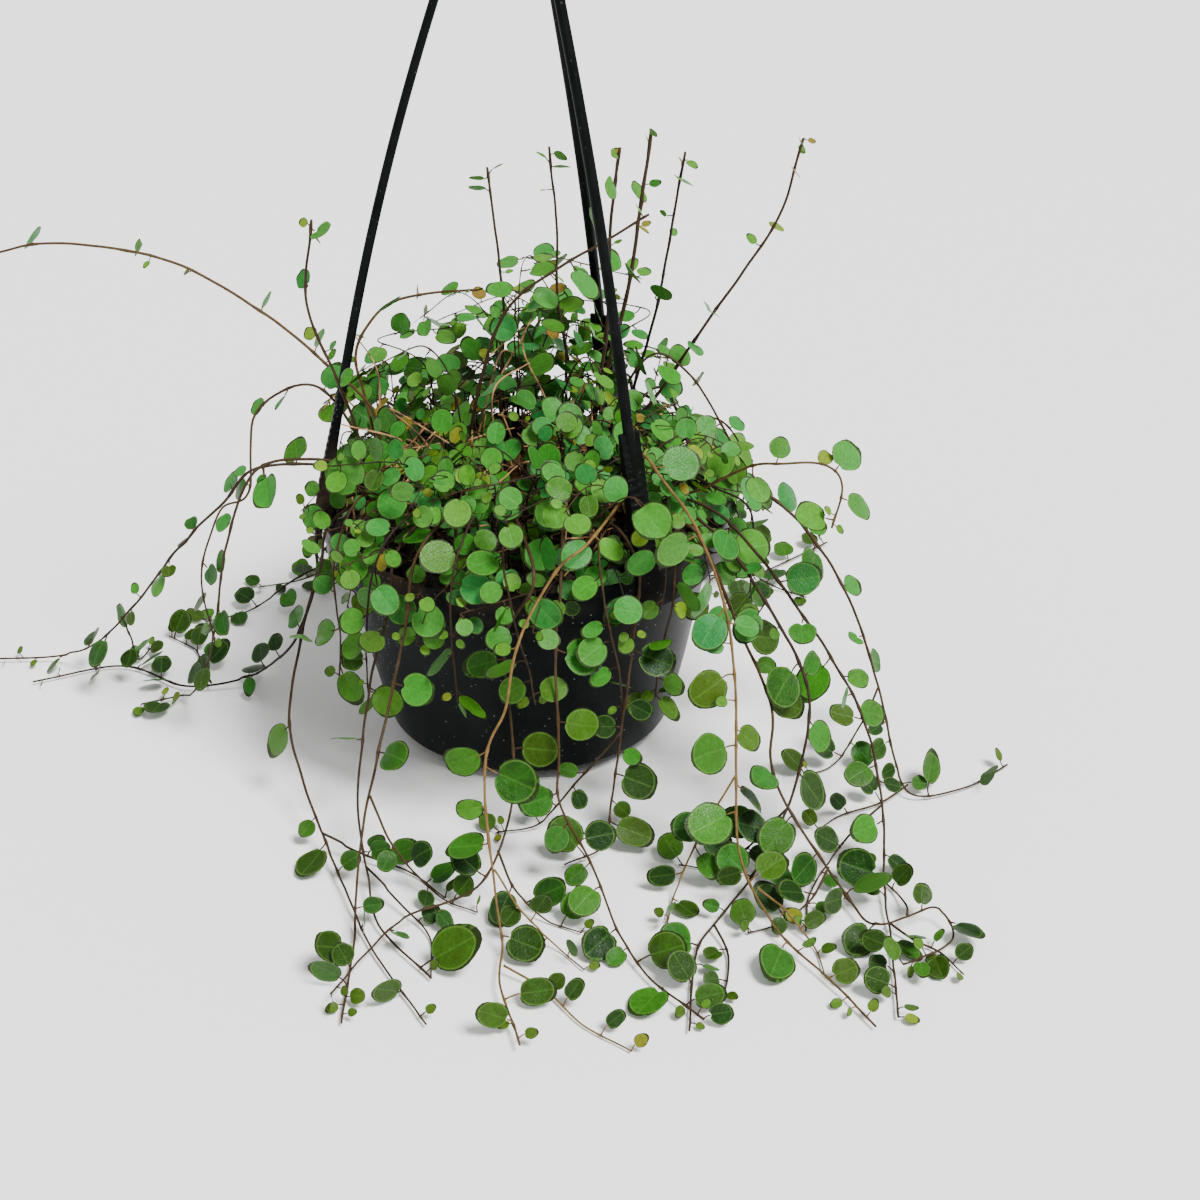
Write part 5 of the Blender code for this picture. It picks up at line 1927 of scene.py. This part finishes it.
    def add_dry_shoots(self) -> None:
        """Adds bare dead shoots in the crown that touch nothing, half of them on its bare side."""
        for i in range(self.dry_shoots):
            rng = random.Random(f"{SEED} dry shoot {i}")
            middle, spread, near, far = self.dry_places[i % 2]
            azimuth, radius = rng.gauss(middle, spread), rng.uniform(near, far)
            foot = self.bed.place(azimuth, radius)
            top = rng.uniform(150, 205) - 0.3 * radius
            route = [
                foot,
                polar(azimuth + rng.uniform(-20, 20), radius + rng.uniform(-8, 14),
                      0.5 * (foot.z / MM + top)),
                polar(azimuth + rng.uniform(-40, 40), radius + rng.uniform(-14, 26), top),
                polar(azimuth + rng.uniform(-60, 60), radius + rng.uniform(-16, 36),
                      top + rng.uniform(-12, 8)),
            ]
            shoot = Shoot(route, [])
            leaves = [leaf.proxy for leaf in self.placed]
            if shoot.clear_of(self.obstacles[:-1] + self.stems + leaves):
                self.stems.append(shoot.proxy)
                self.dry.append(shoot)

    def add_floor_shoots(self) -> None:
        """Adds fine side shoots that leave the trailing stems low down and lie on the surface."""
        for name, (stem, *_) in self.shoots.items():
            if not name.startswith(("trail", "arch_golden", "arch_tan")):
                continue
            rng = random.Random(f"{SEED} floor shoots of {name}")
            others = [proxy for proxy in self.stems if proxy is not stem.proxy]
            forks = 2 if name.startswith(("trail_right", "arch")) else 1
            for share in self.floor_forks[:forks]:
                leaves = [leaf.proxy for leaf in self.placed]
                shoot = self.grow_fine(name, lambda: self.floor_shoot(stem.line, share, rng),
                                       self.obstacles + others + leaves, rng,
                                       self.floor_leaf_tries)
                if shoot:
                    others.append(shoot.proxy)

    def has_room(self, place: Vector) -> bool:
        """Tests whether a floor shoot may lie at a place.

        Args:
            place: where it would lie.

        Returns:
            Whether that is in the part's box, and among the trails.
        """
        (left, front, _), (right, back, _) = CAD_BOX
        if place.y < self.front_from:
            left, right = self.front_span
        return left < place.x < right and front < place.y < back

    def floor_shoot(self, line: Line, share: float, rng: Chance) -> Shoot | None:
        """Lays one side shoot of a trailing stem along the surface.

        Args:
            line: the stem.
            share: about where it forks off.
            rng: the stem's own chance.

        Returns:
            The shoot, or none where it has no room.
        """
        start, along = line.at(share + rng.uniform(-0.08, 0.08))
        heading = math.atan2(along.y, along.x)
        heading += math.radians(rng.choice((-1, 1)) * rng.uniform(25, 70))
        reach = rng.uniform(42, 84) * MM
        points = [start]
        for part, height in self.floor_steps:
            step = Vector((math.cos(heading), math.sin(heading), 0.0)) * reach * part
            place = points[-1] + step
            points.append(Vector((place.x, place.y, max(start.z * height, LOWEST_STEM))))
            heading += math.radians(rng.uniform(-32, 32))
        if not all(self.has_room(point) for point in points):
            return None
        return Shoot(points, even_leaves(5, 0.3, 0.97, rng.uniform(9, 14.5), rng))

    def add_small_leaves(self) -> None:
        """Fills gaps along the stems, and gives every stem tiny leaves at its tip."""
        for name, shoots in self.shoots.items():
            rng = random.Random(f"{SEED} small leaves of {name}")
            chance, least, most = self.growth_between(name)
            for shoot in shoots:
                length = shoot.line.length
                taken = [abs(leaf.share) * length for leaf in shoot.leaves]
                reach, side = 0.2 * length, 1
                while reach < length - 6 * MM:
                    reach += rng.uniform(9, 14) * MM
                    side = -side
                    if any(abs(reach - other) < 7 * MM for other in taken):
                        continue
                    if rng.random() < chance:
                        self.grow_leaf(shoot, side * reach / length, rng.uniform(least, most), rng,
                                       self.gap_leaf_tries, self.small_stalk, self.to_light)
                for share in self.tip_shares:
                    self.grow_leaf(shoot, share, rng.uniform(4, 7), rng, self.tip_leaf_tries,
                                   self.small_stalk, self.at_stem)

    def growth_between(self, name: str) -> tuple[float, float, float]:
        """Tells how densely tiny leaves grow between the others.

        Args:
            name: the stem's name.

        Returns:
            How likely a leaf grows in a gap, and its least and greatest size in mm.
        """
        if name.startswith(("trail_back", "cascade", "crown")):
            return 1.0, 8, 14
        if name.startswith("whip"):
            return 0.4, 3.5, 6
        leafy = ("trail_right", "arch_right", "trail_left_near", "trail_front_d", "trail_front_e")
        return (0.55, 7, 12) if name.startswith(leafy) else (0.2, 6, 10)


# The finer pieces of the plant


@dataclass
class LeafPattern:
    """One modelled leaf blade, from which leaves are copied. It is 18 mm wide, along +X.

    Its fields say how it departs from a flat disc, as a share of its length.
    """

    name: str
    width: float = 1.0
    cup: float = 0.05
    fold: float = 0.03
    curl: float = 0.04
    tip: float = 0.04
    notch: float = 0.05
    waves: float = 0.015
    edge: float = 0.08
    dents: int = 6
    thickness: float = 0.35 * MM
    length: float = 18.6 * MM
    start: float = PETIOLE_LENGTH
    segments: int = 20
    rings: int = 4
    smooth_below: float = 60
    mesh: bpy.types.Mesh | None = None

    def model(self, rng: Chance) -> None:
        """Flattens a sphere to a lens and drags it to a cupped, folded blade with a wavy edge.

        Args:
            rng: the chance that all patterns share.
        """
        deselect_all()
        length, half = self.length, self.length / 2
        middle = Vector((self.start + half, 0, 0))
        bpy.ops.mesh.primitive_uv_sphere_add(segments=self.segments, ring_count=self.rings,
                                             radius=half, location=middle)
        blade = bpy.context.object
        bpy.ops.transform.resize(value=(1, self.width, self.thickness / length))
        settle(blade)
        for chosen, move, reach in (
            (lambda p: p.x > self.start + 0.97 * length, (self.tip, 0, 0), 0.45),
            (lambda p: p.x < self.start + 0.02 * length, (self.notch, 0, 0), 0.2),
            (lambda p: math.hypot(p.x - middle.x, p.y) < 0.3 * half, (0, 0, -self.cup), 1.0),
            (lambda p: abs(p.y) < 0.02 * half, (0, 0, -self.fold), 0.3),
            (lambda p: p.x > self.start + 0.93 * length, (0, 0, -self.curl), 0.6),
        ):
            drag(blade, chosen, [step * length for step in move], reach * length)
        rim = [v.co.copy() for v in blade.data.vertices
               if math.hypot(v.co.x - middle.x, v.co.y / self.width) > 0.93 * half]
        for place in rng.sample(rim, self.dents):
            move = (0, 0, rng.choice((-1, 1)) * self.waves * length)
            self.dent(blade, place, 0.1 * half, move, 0.3 * length)
        for place in rng.sample(rim, self.dents):
            move = (place - middle) * rng.uniform(-self.edge, self.edge)
            self.dent(blade, place, 0.12 * half, move, 0.34 * length)
        smooth_by_angle(blade, self.smooth_below)
        self.mark(blade.data)
        self.mesh = blade.data
        self.mesh.name = self.name
        bpy.data.objects.remove(blade, do_unlink=True)

    def dent(self, blade: Piece, place: Vector, size: float, move: Sequence[float],
             reach: float) -> None:
        """Drags the few vertices within a size of a place on the blade's edge."""
        drag(blade, lambda p: (p - place).xy.length < size, move, reach)

    def mark(self, mesh: bpy.types.Mesh) -> None:
        """Gives the blade its map, along and across the leaf, and marks its underside's faces.

        Args:
            mesh: the blade's mesh.
        """
        layer = fresh_map(mesh)
        for loop in mesh.loops:
            place = mesh.vertices[loop.vertex_index].co
            across = 0.5 + place.y / (self.length * self.width)
            layer.uv[loop.index].vector = ((place.x - self.start) / self.length, across)
        below = mesh.attributes.new("underside", "FLOAT", "FACE")
        below.data.foreach_set("value", [float(face.normal.z < 0) for face in mesh.polygons])
        mesh.attributes.new("tone", "FLOAT_COLOR", "POINT")

    def copy(self, matrix: Matrix, tone: Sequence[float], material: Material) -> Piece:
        """Copies the blade to a place, no lower than the surface.

        Args:
            matrix: its place, turn and size.
            tone: the four values of its vertex colour.
            material: what it is made of.

        Returns:
            The copy, with its own mesh.
        """
        mesh = self.mesh.copy()
        mesh.transform(matrix)
        lowest = min(vertex.co.z for vertex in mesh.vertices)
        if lowest < FLOOR_CLEARANCE:
            mesh.transform(Matrix.Translation((0, 0, FLOOR_CLEARANCE - lowest)))
        mesh.attributes["tone"].data.foreach_set("color", list(tone) * len(mesh.vertices))
        mesh.materials.append(material)
        leaf = bpy.data.objects.new(self.name, mesh)
        bpy.context.scene.collection.objects.link(leaf)
        return leaf


class TwigCurve:
    """Gathers the lines of a stem and its leaf stalks, and makes them one mesh of closed tubes."""

    def __init__(self, name: str) -> None:
        """Starts an empty curve with round thickness.

        Args:
            name: the object's name.
        """
        deselect_all()
        bpy.ops.object.add(type="CURVE")
        self.piece = bpy.context.object
        self.piece.name = name
        curve = self.piece.data
        curve.dimensions = "3D"
        curve.bevel_depth = MM
        curve.bevel_resolution = 1
        curve.use_fill_caps = True
        self.tones: list[tuple[Vector, Sequence[float]]] = []

    def add_line(self, points: Sequence[Vector], radii: Sequence[float],
                 tones: Sequence[Sequence[float]]) -> None:
        """Adds one line.

        Args:
            points: its places.
            radii: its radius at each place, in mm.
            tones: its vertex colour at each place.
        """
        spline = self.piece.data.splines.new("POLY")
        spline.points.add(len(points) - 1)
        for point, place, radius in zip(spline.points, points, radii):
            point.co = (*place, 1.0)
            point.radius = radius
        self.tones += zip(points, tones)

    def finish(self, material: Material) -> Piece:
        """Turns the curve to a mesh with welded caps and colours its points.

        Args:
            material: what the stem is made of.

        Returns:
            The stem.
        """
        activate(self.piece)
        bpy.ops.object.convert(target="MESH")
        self.piece = bpy.context.object
        make_normals_outward(self.piece)
        bpy.ops.object.shade_smooth()
        mesh = self.piece.data
        fresh_map(mesh)
        tree = KDTree(len(self.tones))
        for i, (place, _) in enumerate(self.tones):
            tree.insert(place, i)
        tree.balance()
        values: list[float] = []
        for vertex in mesh.vertices:
            values += self.tones[tree.find(vertex.co)[1]][1]
        mesh.attributes.new("tone", "FLOAT_COLOR", "POINT").data.foreach_set("color", values)
        mesh.materials.clear()
        mesh.materials.append(material)
        return self.piece


@dataclass
class StemLook:
    """How thick a kind of stem is, in mm of radius at its foot and its tip, and how it wobbles."""

    foot: float
    tip: float
    wobble: float


STEM_LOOKS = {
    Habit.WHIP: StemLook(0.85, 0.58, 0.4),
    Habit.DROP: StemLook(0.78, 0.42, 0.5),
    Habit.TRAIL: StemLook(0.85, 0.46, 0.6),
    Habit.ARCH: StemLook(0.74, 0.48, 0.4),
    Habit.CASCADE: StemLook(0.66, 0.38, 0.6),
    Habit.CROWN: StemLook(0.58, 0.34, 0.5),
}
WOODY = {"whip_woody": 1.5, "whip_middle": 1.2}


@dataclass
class Vine:
    """Builds the visible pieces of the plant from where its stems and leaves are."""

    plant: Plant
    leaf: Material
    bark: Material
    dry: Material
    kink_pitch: float = 14 * MM
    resting_below: float = 8 * MM
    sink: float = 0.8 * MM
    side_slimness: float = 0.75
    node_swelling: float = 0.45
    stalk_bows: tuple = ((0.0, 1.25), (0.3, 1.0), (0.6, 1.0), (0.85, 0.9), (1.0, 0.5))
    small_leaf: float = 7
    small_pattern: int = 4
    bronze_from: float = 150
    bluish_from: float = 95
    litter_twigs: int = 190
    litter_leaves: int = 110
    twig_radii: tuple[float, ...] = (0.5, 0.45, 0.4, 0.25)
    dry_tone: tuple[float, ...] = (0.5, 0.5, 0.5, 1.0)
    dead_tone: tuple[float, ...] = (0, 0, 0, 1)
    broad: list[LeafPattern] = field(default_factory=list)
    dead: list[LeafPattern] = field(default_factory=list)

    def model_leaves(self) -> None:
        """Models the few leaf blades that all leaves are copied from."""
        rng = random.Random(f"{SEED} leaf patterns")
        self.broad = [
            LeafPattern("leaf_flat", 0.96, 0.03, 0.02, 0.02),
            LeafPattern("leaf_cupped", 0.99, 0.10, 0.02, 0.02, notch=0.08),
            LeafPattern("leaf_domed", 0.94, -0.07, 0.02, 0.08),
            LeafPattern("leaf_folded", 0.88, 0.03, 0.10, 0.05),
            LeafPattern("leaf_pointed", 0.82, 0.04, 0.05, 0.05, tip=0.12),
            LeafPattern("leaf_wavy", 0.98, 0.05, 0.03, -0.05, waves=0.04),
            LeafPattern("leaf_oval", 0.78, 0.06, 0.04, 0.04, tip=0.06),
            LeafPattern("leaf_heart", 1.02, 0.04, 0.06, 0.03, notch=0.11, tip=0.07),
        ]
        self.dead = [
            LeafPattern("dead_rolled", 0.7, 0.22, 0.12, 0.2, waves=0.08),
            LeafPattern("dead_cupped", 0.9, -0.2, 0.05, -0.2, waves=0.1),
        ]
        for pattern in (*self.broad, *self.dead):
            pattern.model(rng)

    def path_of(self, shoot: Shoot, look: StemLook, rng: Chance) -> list[Vector]:
        """Lays the stem's visible line: smooth, with slight kinks, resting on what it lies on.

        Args:
            shoot: one length of stem.
            look: how its kind looks.
            rng: the stem's own chance.

        Returns:
            The line's points.
        """
        phase = rng.uniform(0, 100)
        points = []
        travelled = 0.0
        for i, point in enumerate(shoot.smooth):
            travelled += (point - shoot.smooth[i - 1]).length if i else 0.0
            kinks = [(travelled / self.kink_pitch, phase + 7 * k, 0) for k in range(3)]
            shake = Vector([noise.noise(Vector(kink)) for kink in kinks])
            place = point + shake * look.wobble * MM
            if place.z < self.resting_below:
                place.z = max(point.z - self.sink, MM)
            points.append(place)
        if shoot.root:
            points.insert(0, points[0].lerp(shoot.root, 0.5))
        return points

    def tone_of(self, name: str, leaf: Leaf, rng: Chance) -> tuple[float, ...]:
        """A leaf's colour values: how young, how dark and how blue it is.

        Args:
            name: its stem's name.
            leaf: the placed leaf. Low leaves get painted shade, and tiny ones are young or bronze.
            rng: the stem's own chance.

        Returns:
            The four values of its vertex colour.
        """
        height = leaf.centre.z / MM
        youth = 0.02 + 0.08 * YOUNG_STEMS.get(name, 0.0) + 0.2 * abs(leaf.share) ** 6
        youth += rng.gauss(0, 0.08)
        youth = youth * min(0.4 + height / 140, 1) + max(0.0, (8 - leaf.size) / 8) * 0.45
        if leaf.size < 9 and rng.random() < (0.3 if height > self.bronze_from else 0.08):
            youth = rng.uniform(0.7, 0.95)
        # Painted shade: the lower a leaf, the darker its green; chance adds real differences of
        # tone.
        shade = 1.0 - height / 150 + rng.gauss(0, 0.32)
        blue = rng.gauss(0.38, 0.28) if height > self.bluish_from else rng.gauss(0.1, 0.12)
        return tuple(min(max(value, 0.0), 1.0) for value in (youth, shade, blue)) + (1.0,)

    def build_stem(self, name: str, shoots: Sequence[Shoot]) -> Piece:
        """Builds one leafy stem: its tubes, leaf stalks and leaves.

        Args:
            name: the stem's name, which begins with its habit.
            shoots: its lengths of stem with their leaves.

        Returns:
            The finished piece.
        """
        rng = random.Random(f"{SEED} look of {name}")
        look = STEM_LOOKS[Habit(name.split("_")[0])]
        golden = YOUNG_STEMS.get(name, rng.uniform(0.0, 0.25))
        twig = TwigCurve(name + "_grown")
        leaves = []
        for shoot in shoots:
            path = self.path_of(shoot, look, rng)
            line = Line(path)
            shares = [reach / line.length for reach in line.reach]
            slim = WOODY.get(name, 1.0) if shoot.root else self.side_slimness
            radii = [(look.foot + (look.tip - look.foot) * share) * slim for share in shares]
            for leaf in shoot.leaves:
                place = shoot.line.at(abs(leaf.share))[0]
                node = min(range(len(path)), key=lambda i: (path[i] - place).length_squared)
                radii[node] *= 1 + self.node_swelling * min(leaf.size / 14, 1)
                leaves.append(self.build_leaf(name, leaf, path[node], twig, golden, rng))
            twig.add_line(path, radii, [(share, golden, rng.random(), 1.0) for share in shares])
        return fuse([twig.finish(self.bark), *leaves], name + "_grown")

    def build_leaf(self, name: str, leaf: Leaf, node: Vector, twig: TwigCurve, golden: float,
                   rng: Chance) -> Piece:
        """Copies a leaf blade to its place and lays its stalk from the stem to the blade.

        Args:
            name: its stem's name.
            leaf: the placed leaf.
            node: where it leaves the stem.
            twig: what gathers the stem's lines.
            golden: how golden the stem is.
            rng: the stem's own chance.

        Returns:
            The blade.
        """
        scale = leaf.size * MM / BLADE_SIZE
        axes = leaf.matrix.to_3x3().normalized().to_4x4()
        matrix = Matrix.Translation(leaf.matrix.translation) @ axes @ Matrix.Scale(scale, 4)
        base = matrix @ Vector((PETIOLE_LENGTH + 1.6 * MM, 0, -0.2 * MM))
        bend = matrix @ Vector((PETIOLE_LENGTH * 0.4, 0, -1.2 * MM))
        thick = 0.24 + 0.16 * min(leaf.size / 16, 1)
        stalk = [node.lerp(bend, t).lerp(bend.lerp(base, t), t) for t, _ in self.stalk_bows]
        radii = [thick * share for _, share in self.stalk_bows]
        twig.add_line(stalk, radii, [(0.8, golden, 0.5, 1.0)] * len(stalk))
        big = leaf.size > self.small_leaf
        pattern = rng.choice(self.broad) if big else self.broad[self.small_pattern]
        return pattern.copy(matrix, self.tone_of(name, leaf, rng), self.leaf)

    def build_litter(self) -> Piece:
        """Scatters dead leaves and short dry twigs over the soil and in the crown.

        Returns:
            The finished litter.
        """
        rng = random.Random(f"{SEED} litter")
        bed = self.plant.bed
        twig = TwigCurve("leaf_litter")
        for shoot in self.plant.dry:
            count = len(shoot.smooth)
            radii = [0.62 - 0.3 * i / count for i in range(count)]
            twig.add_line(shoot.smooth, radii, [self.dry_tone] * count)
        for _ in range(self.litter_twigs):
            place = bed.place(rng.uniform(0, 360), 84 * math.sqrt(rng.random()))
            place.z += rng.uniform(1, 34) * MM
            along = Vector((rng.gauss(0, 1), rng.gauss(0, 1), rng.gauss(0, 0.6))).normalized()
            points = [place + along * rng.uniform(10, 38) * MM * (t - 0.5)
                      for t in (0.0, 0.33, 0.66, 1.0)]
            points = [point + scatter(rng) * 0.8 * MM for point in points]
            points = [Vector((p.x, p.y, max(p.z, bed.height(p.x, p.y)))) for p in points]
            twig.add_line(points, self.twig_radii, [self.dry_tone] * len(points))
        dead = []
        for _ in range(self.litter_leaves):
            place = bed.place(rng.uniform(0, 360), 86 * math.sqrt(rng.random()))
            place.z += rng.uniform(1, 5) * MM
            turn = Matrix.Rotation(rng.uniform(0, 6.28), 4, "Z")
            turn = turn @ Matrix.Rotation(rng.gauss(0, 0.7), 4, "X")
            matrix = Matrix.Translation(place) @ turn @ Matrix.Scale(rng.uniform(0.3, 0.6), 4)
            matrix = matrix @ Matrix.Translation((-BLADE_MIDDLE, 0, 0))
            dead.append(rng.choice(self.dead).copy(matrix, self.dead_tone, self.dry))
        return fuse([twig.finish(self.dry), *dead], "leaf_litter")


# The studio


@dataclass
class Studio:
    """The pale table, the soft lights and the camera where the photographer stood."""

    camera_place: tuple[float, float, float] = (0.036, -0.85, 0.535)
    camera_pitch: float = 60.9
    lens: float = 57.9
    sensor: float = 36.0
    floor_size: float = 14.0
    floor_gap: float = 0.2 * MM
    key_place: tuple[float, float, float] = (0.8, -0.6, 1.6)
    key_spread: float = 22.0
    key_strength: float = 6.5
    sky: str = "#ffffff"
    sky_strength: float = 0.7

    def add_key(self) -> None:
        """Adds the main light, wide enough for soft shadows, from the right above the camera."""
        deselect_all()
        bpy.ops.object.light_add(type="SUN", location=self.key_place)
        lamp = bpy.context.object
        lamp.name = "key_light"
        lamp.data.angle = math.radians(self.key_spread)
        lamp.data.energy = self.key_strength
        lamp.rotation_euler = (-Vector(self.key_place)).to_track_quat("-Z", "Y").to_euler()

    def build(self) -> None:
        """Sets up the table, the main light, an even white light all round and the camera."""
        deselect_all()
        bpy.ops.mesh.primitive_plane_add(size=self.floor_size, location=(0, 0, -self.floor_gap))
        table = bpy.context.object
        table.name = "pale_table"
        settle(table)
        table.data.materials.append(PaleTable().material())
        self.add_key()
        world = bpy.data.worlds.new("studio")
        bpy.context.scene.world = world
        world.use_nodes = True
        background = world.node_tree.nodes["Background"]
        background.inputs["Color"].default_value = linear(self.sky)
        background.inputs["Strength"].default_value = self.sky_strength
        pitch = math.radians(self.camera_pitch)
        bpy.ops.object.camera_add(location=self.camera_place, rotation=(pitch, 0, 0))
        camera = bpy.context.object
        camera.data.lens = self.lens
        camera.data.sensor_width = self.sensor
        bpy.context.scene.camera = camera


def hand_over(piece: Piece, slot: str, *nodes: str) -> None:
    """Binds a finished piece to the frame.

    Args:
        piece: the finished object.
        slot: a material slot's name; not used.
        nodes: the solids that it stands for.
    """
    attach(piece, BODY)
    if nodes:
        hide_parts(*nodes)
    LOG.info("%s: %d faces", piece.name, len(piece.data.polygons))


def main() -> None:
    """Builds the pot, its hanger, the soil and the whole vine, and then the studio."""
    logging.basicConfig(level=logging.INFO, format="%(name)s: %(message)s")
    pot = Pot()
    bed = SoilBed(pot)
    hanger = Hanger(pot)
    plant = Plant(pot, bed, hanger)
    plant.grow()

    pot_plastic = MouldedPlastic("satin_polypropylene_pot")
    strap_plastic = MouldedPlastic("polypropylene_hanger", colour="#040604", roughness=0.4,
                                   dustiness=0.5, dusty_from=160 * MM, dusty_to=100 * MM,
                                   speckle=0.2, edge_glints=0.0)
    hand_over(pot.build(pot_plastic.material()), "pot_plastic", "pot")
    hand_over(hanger.build(strap_plastic.material()), "hanger_plastic", "hanger")
    hand_over(bed.build(PottingMix().material()), "potting_soil", "soil")

    vine = Vine(plant, LeafTissue().material(), WiryStem().material(), DryMatter().material())
    vine.model_leaves()
    for name, shoots in plant.shoots.items():
        nodes = [name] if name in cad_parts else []
        slot = "vine_young" if name in YOUNG_STEMS else "vine_green"
        hand_over(vine.build_stem(name, shoots), slot, *nodes)
    hand_over(vine.build_litter(), "potting_soil")
    Studio().build()


if __name__ == "__main__":
    main()
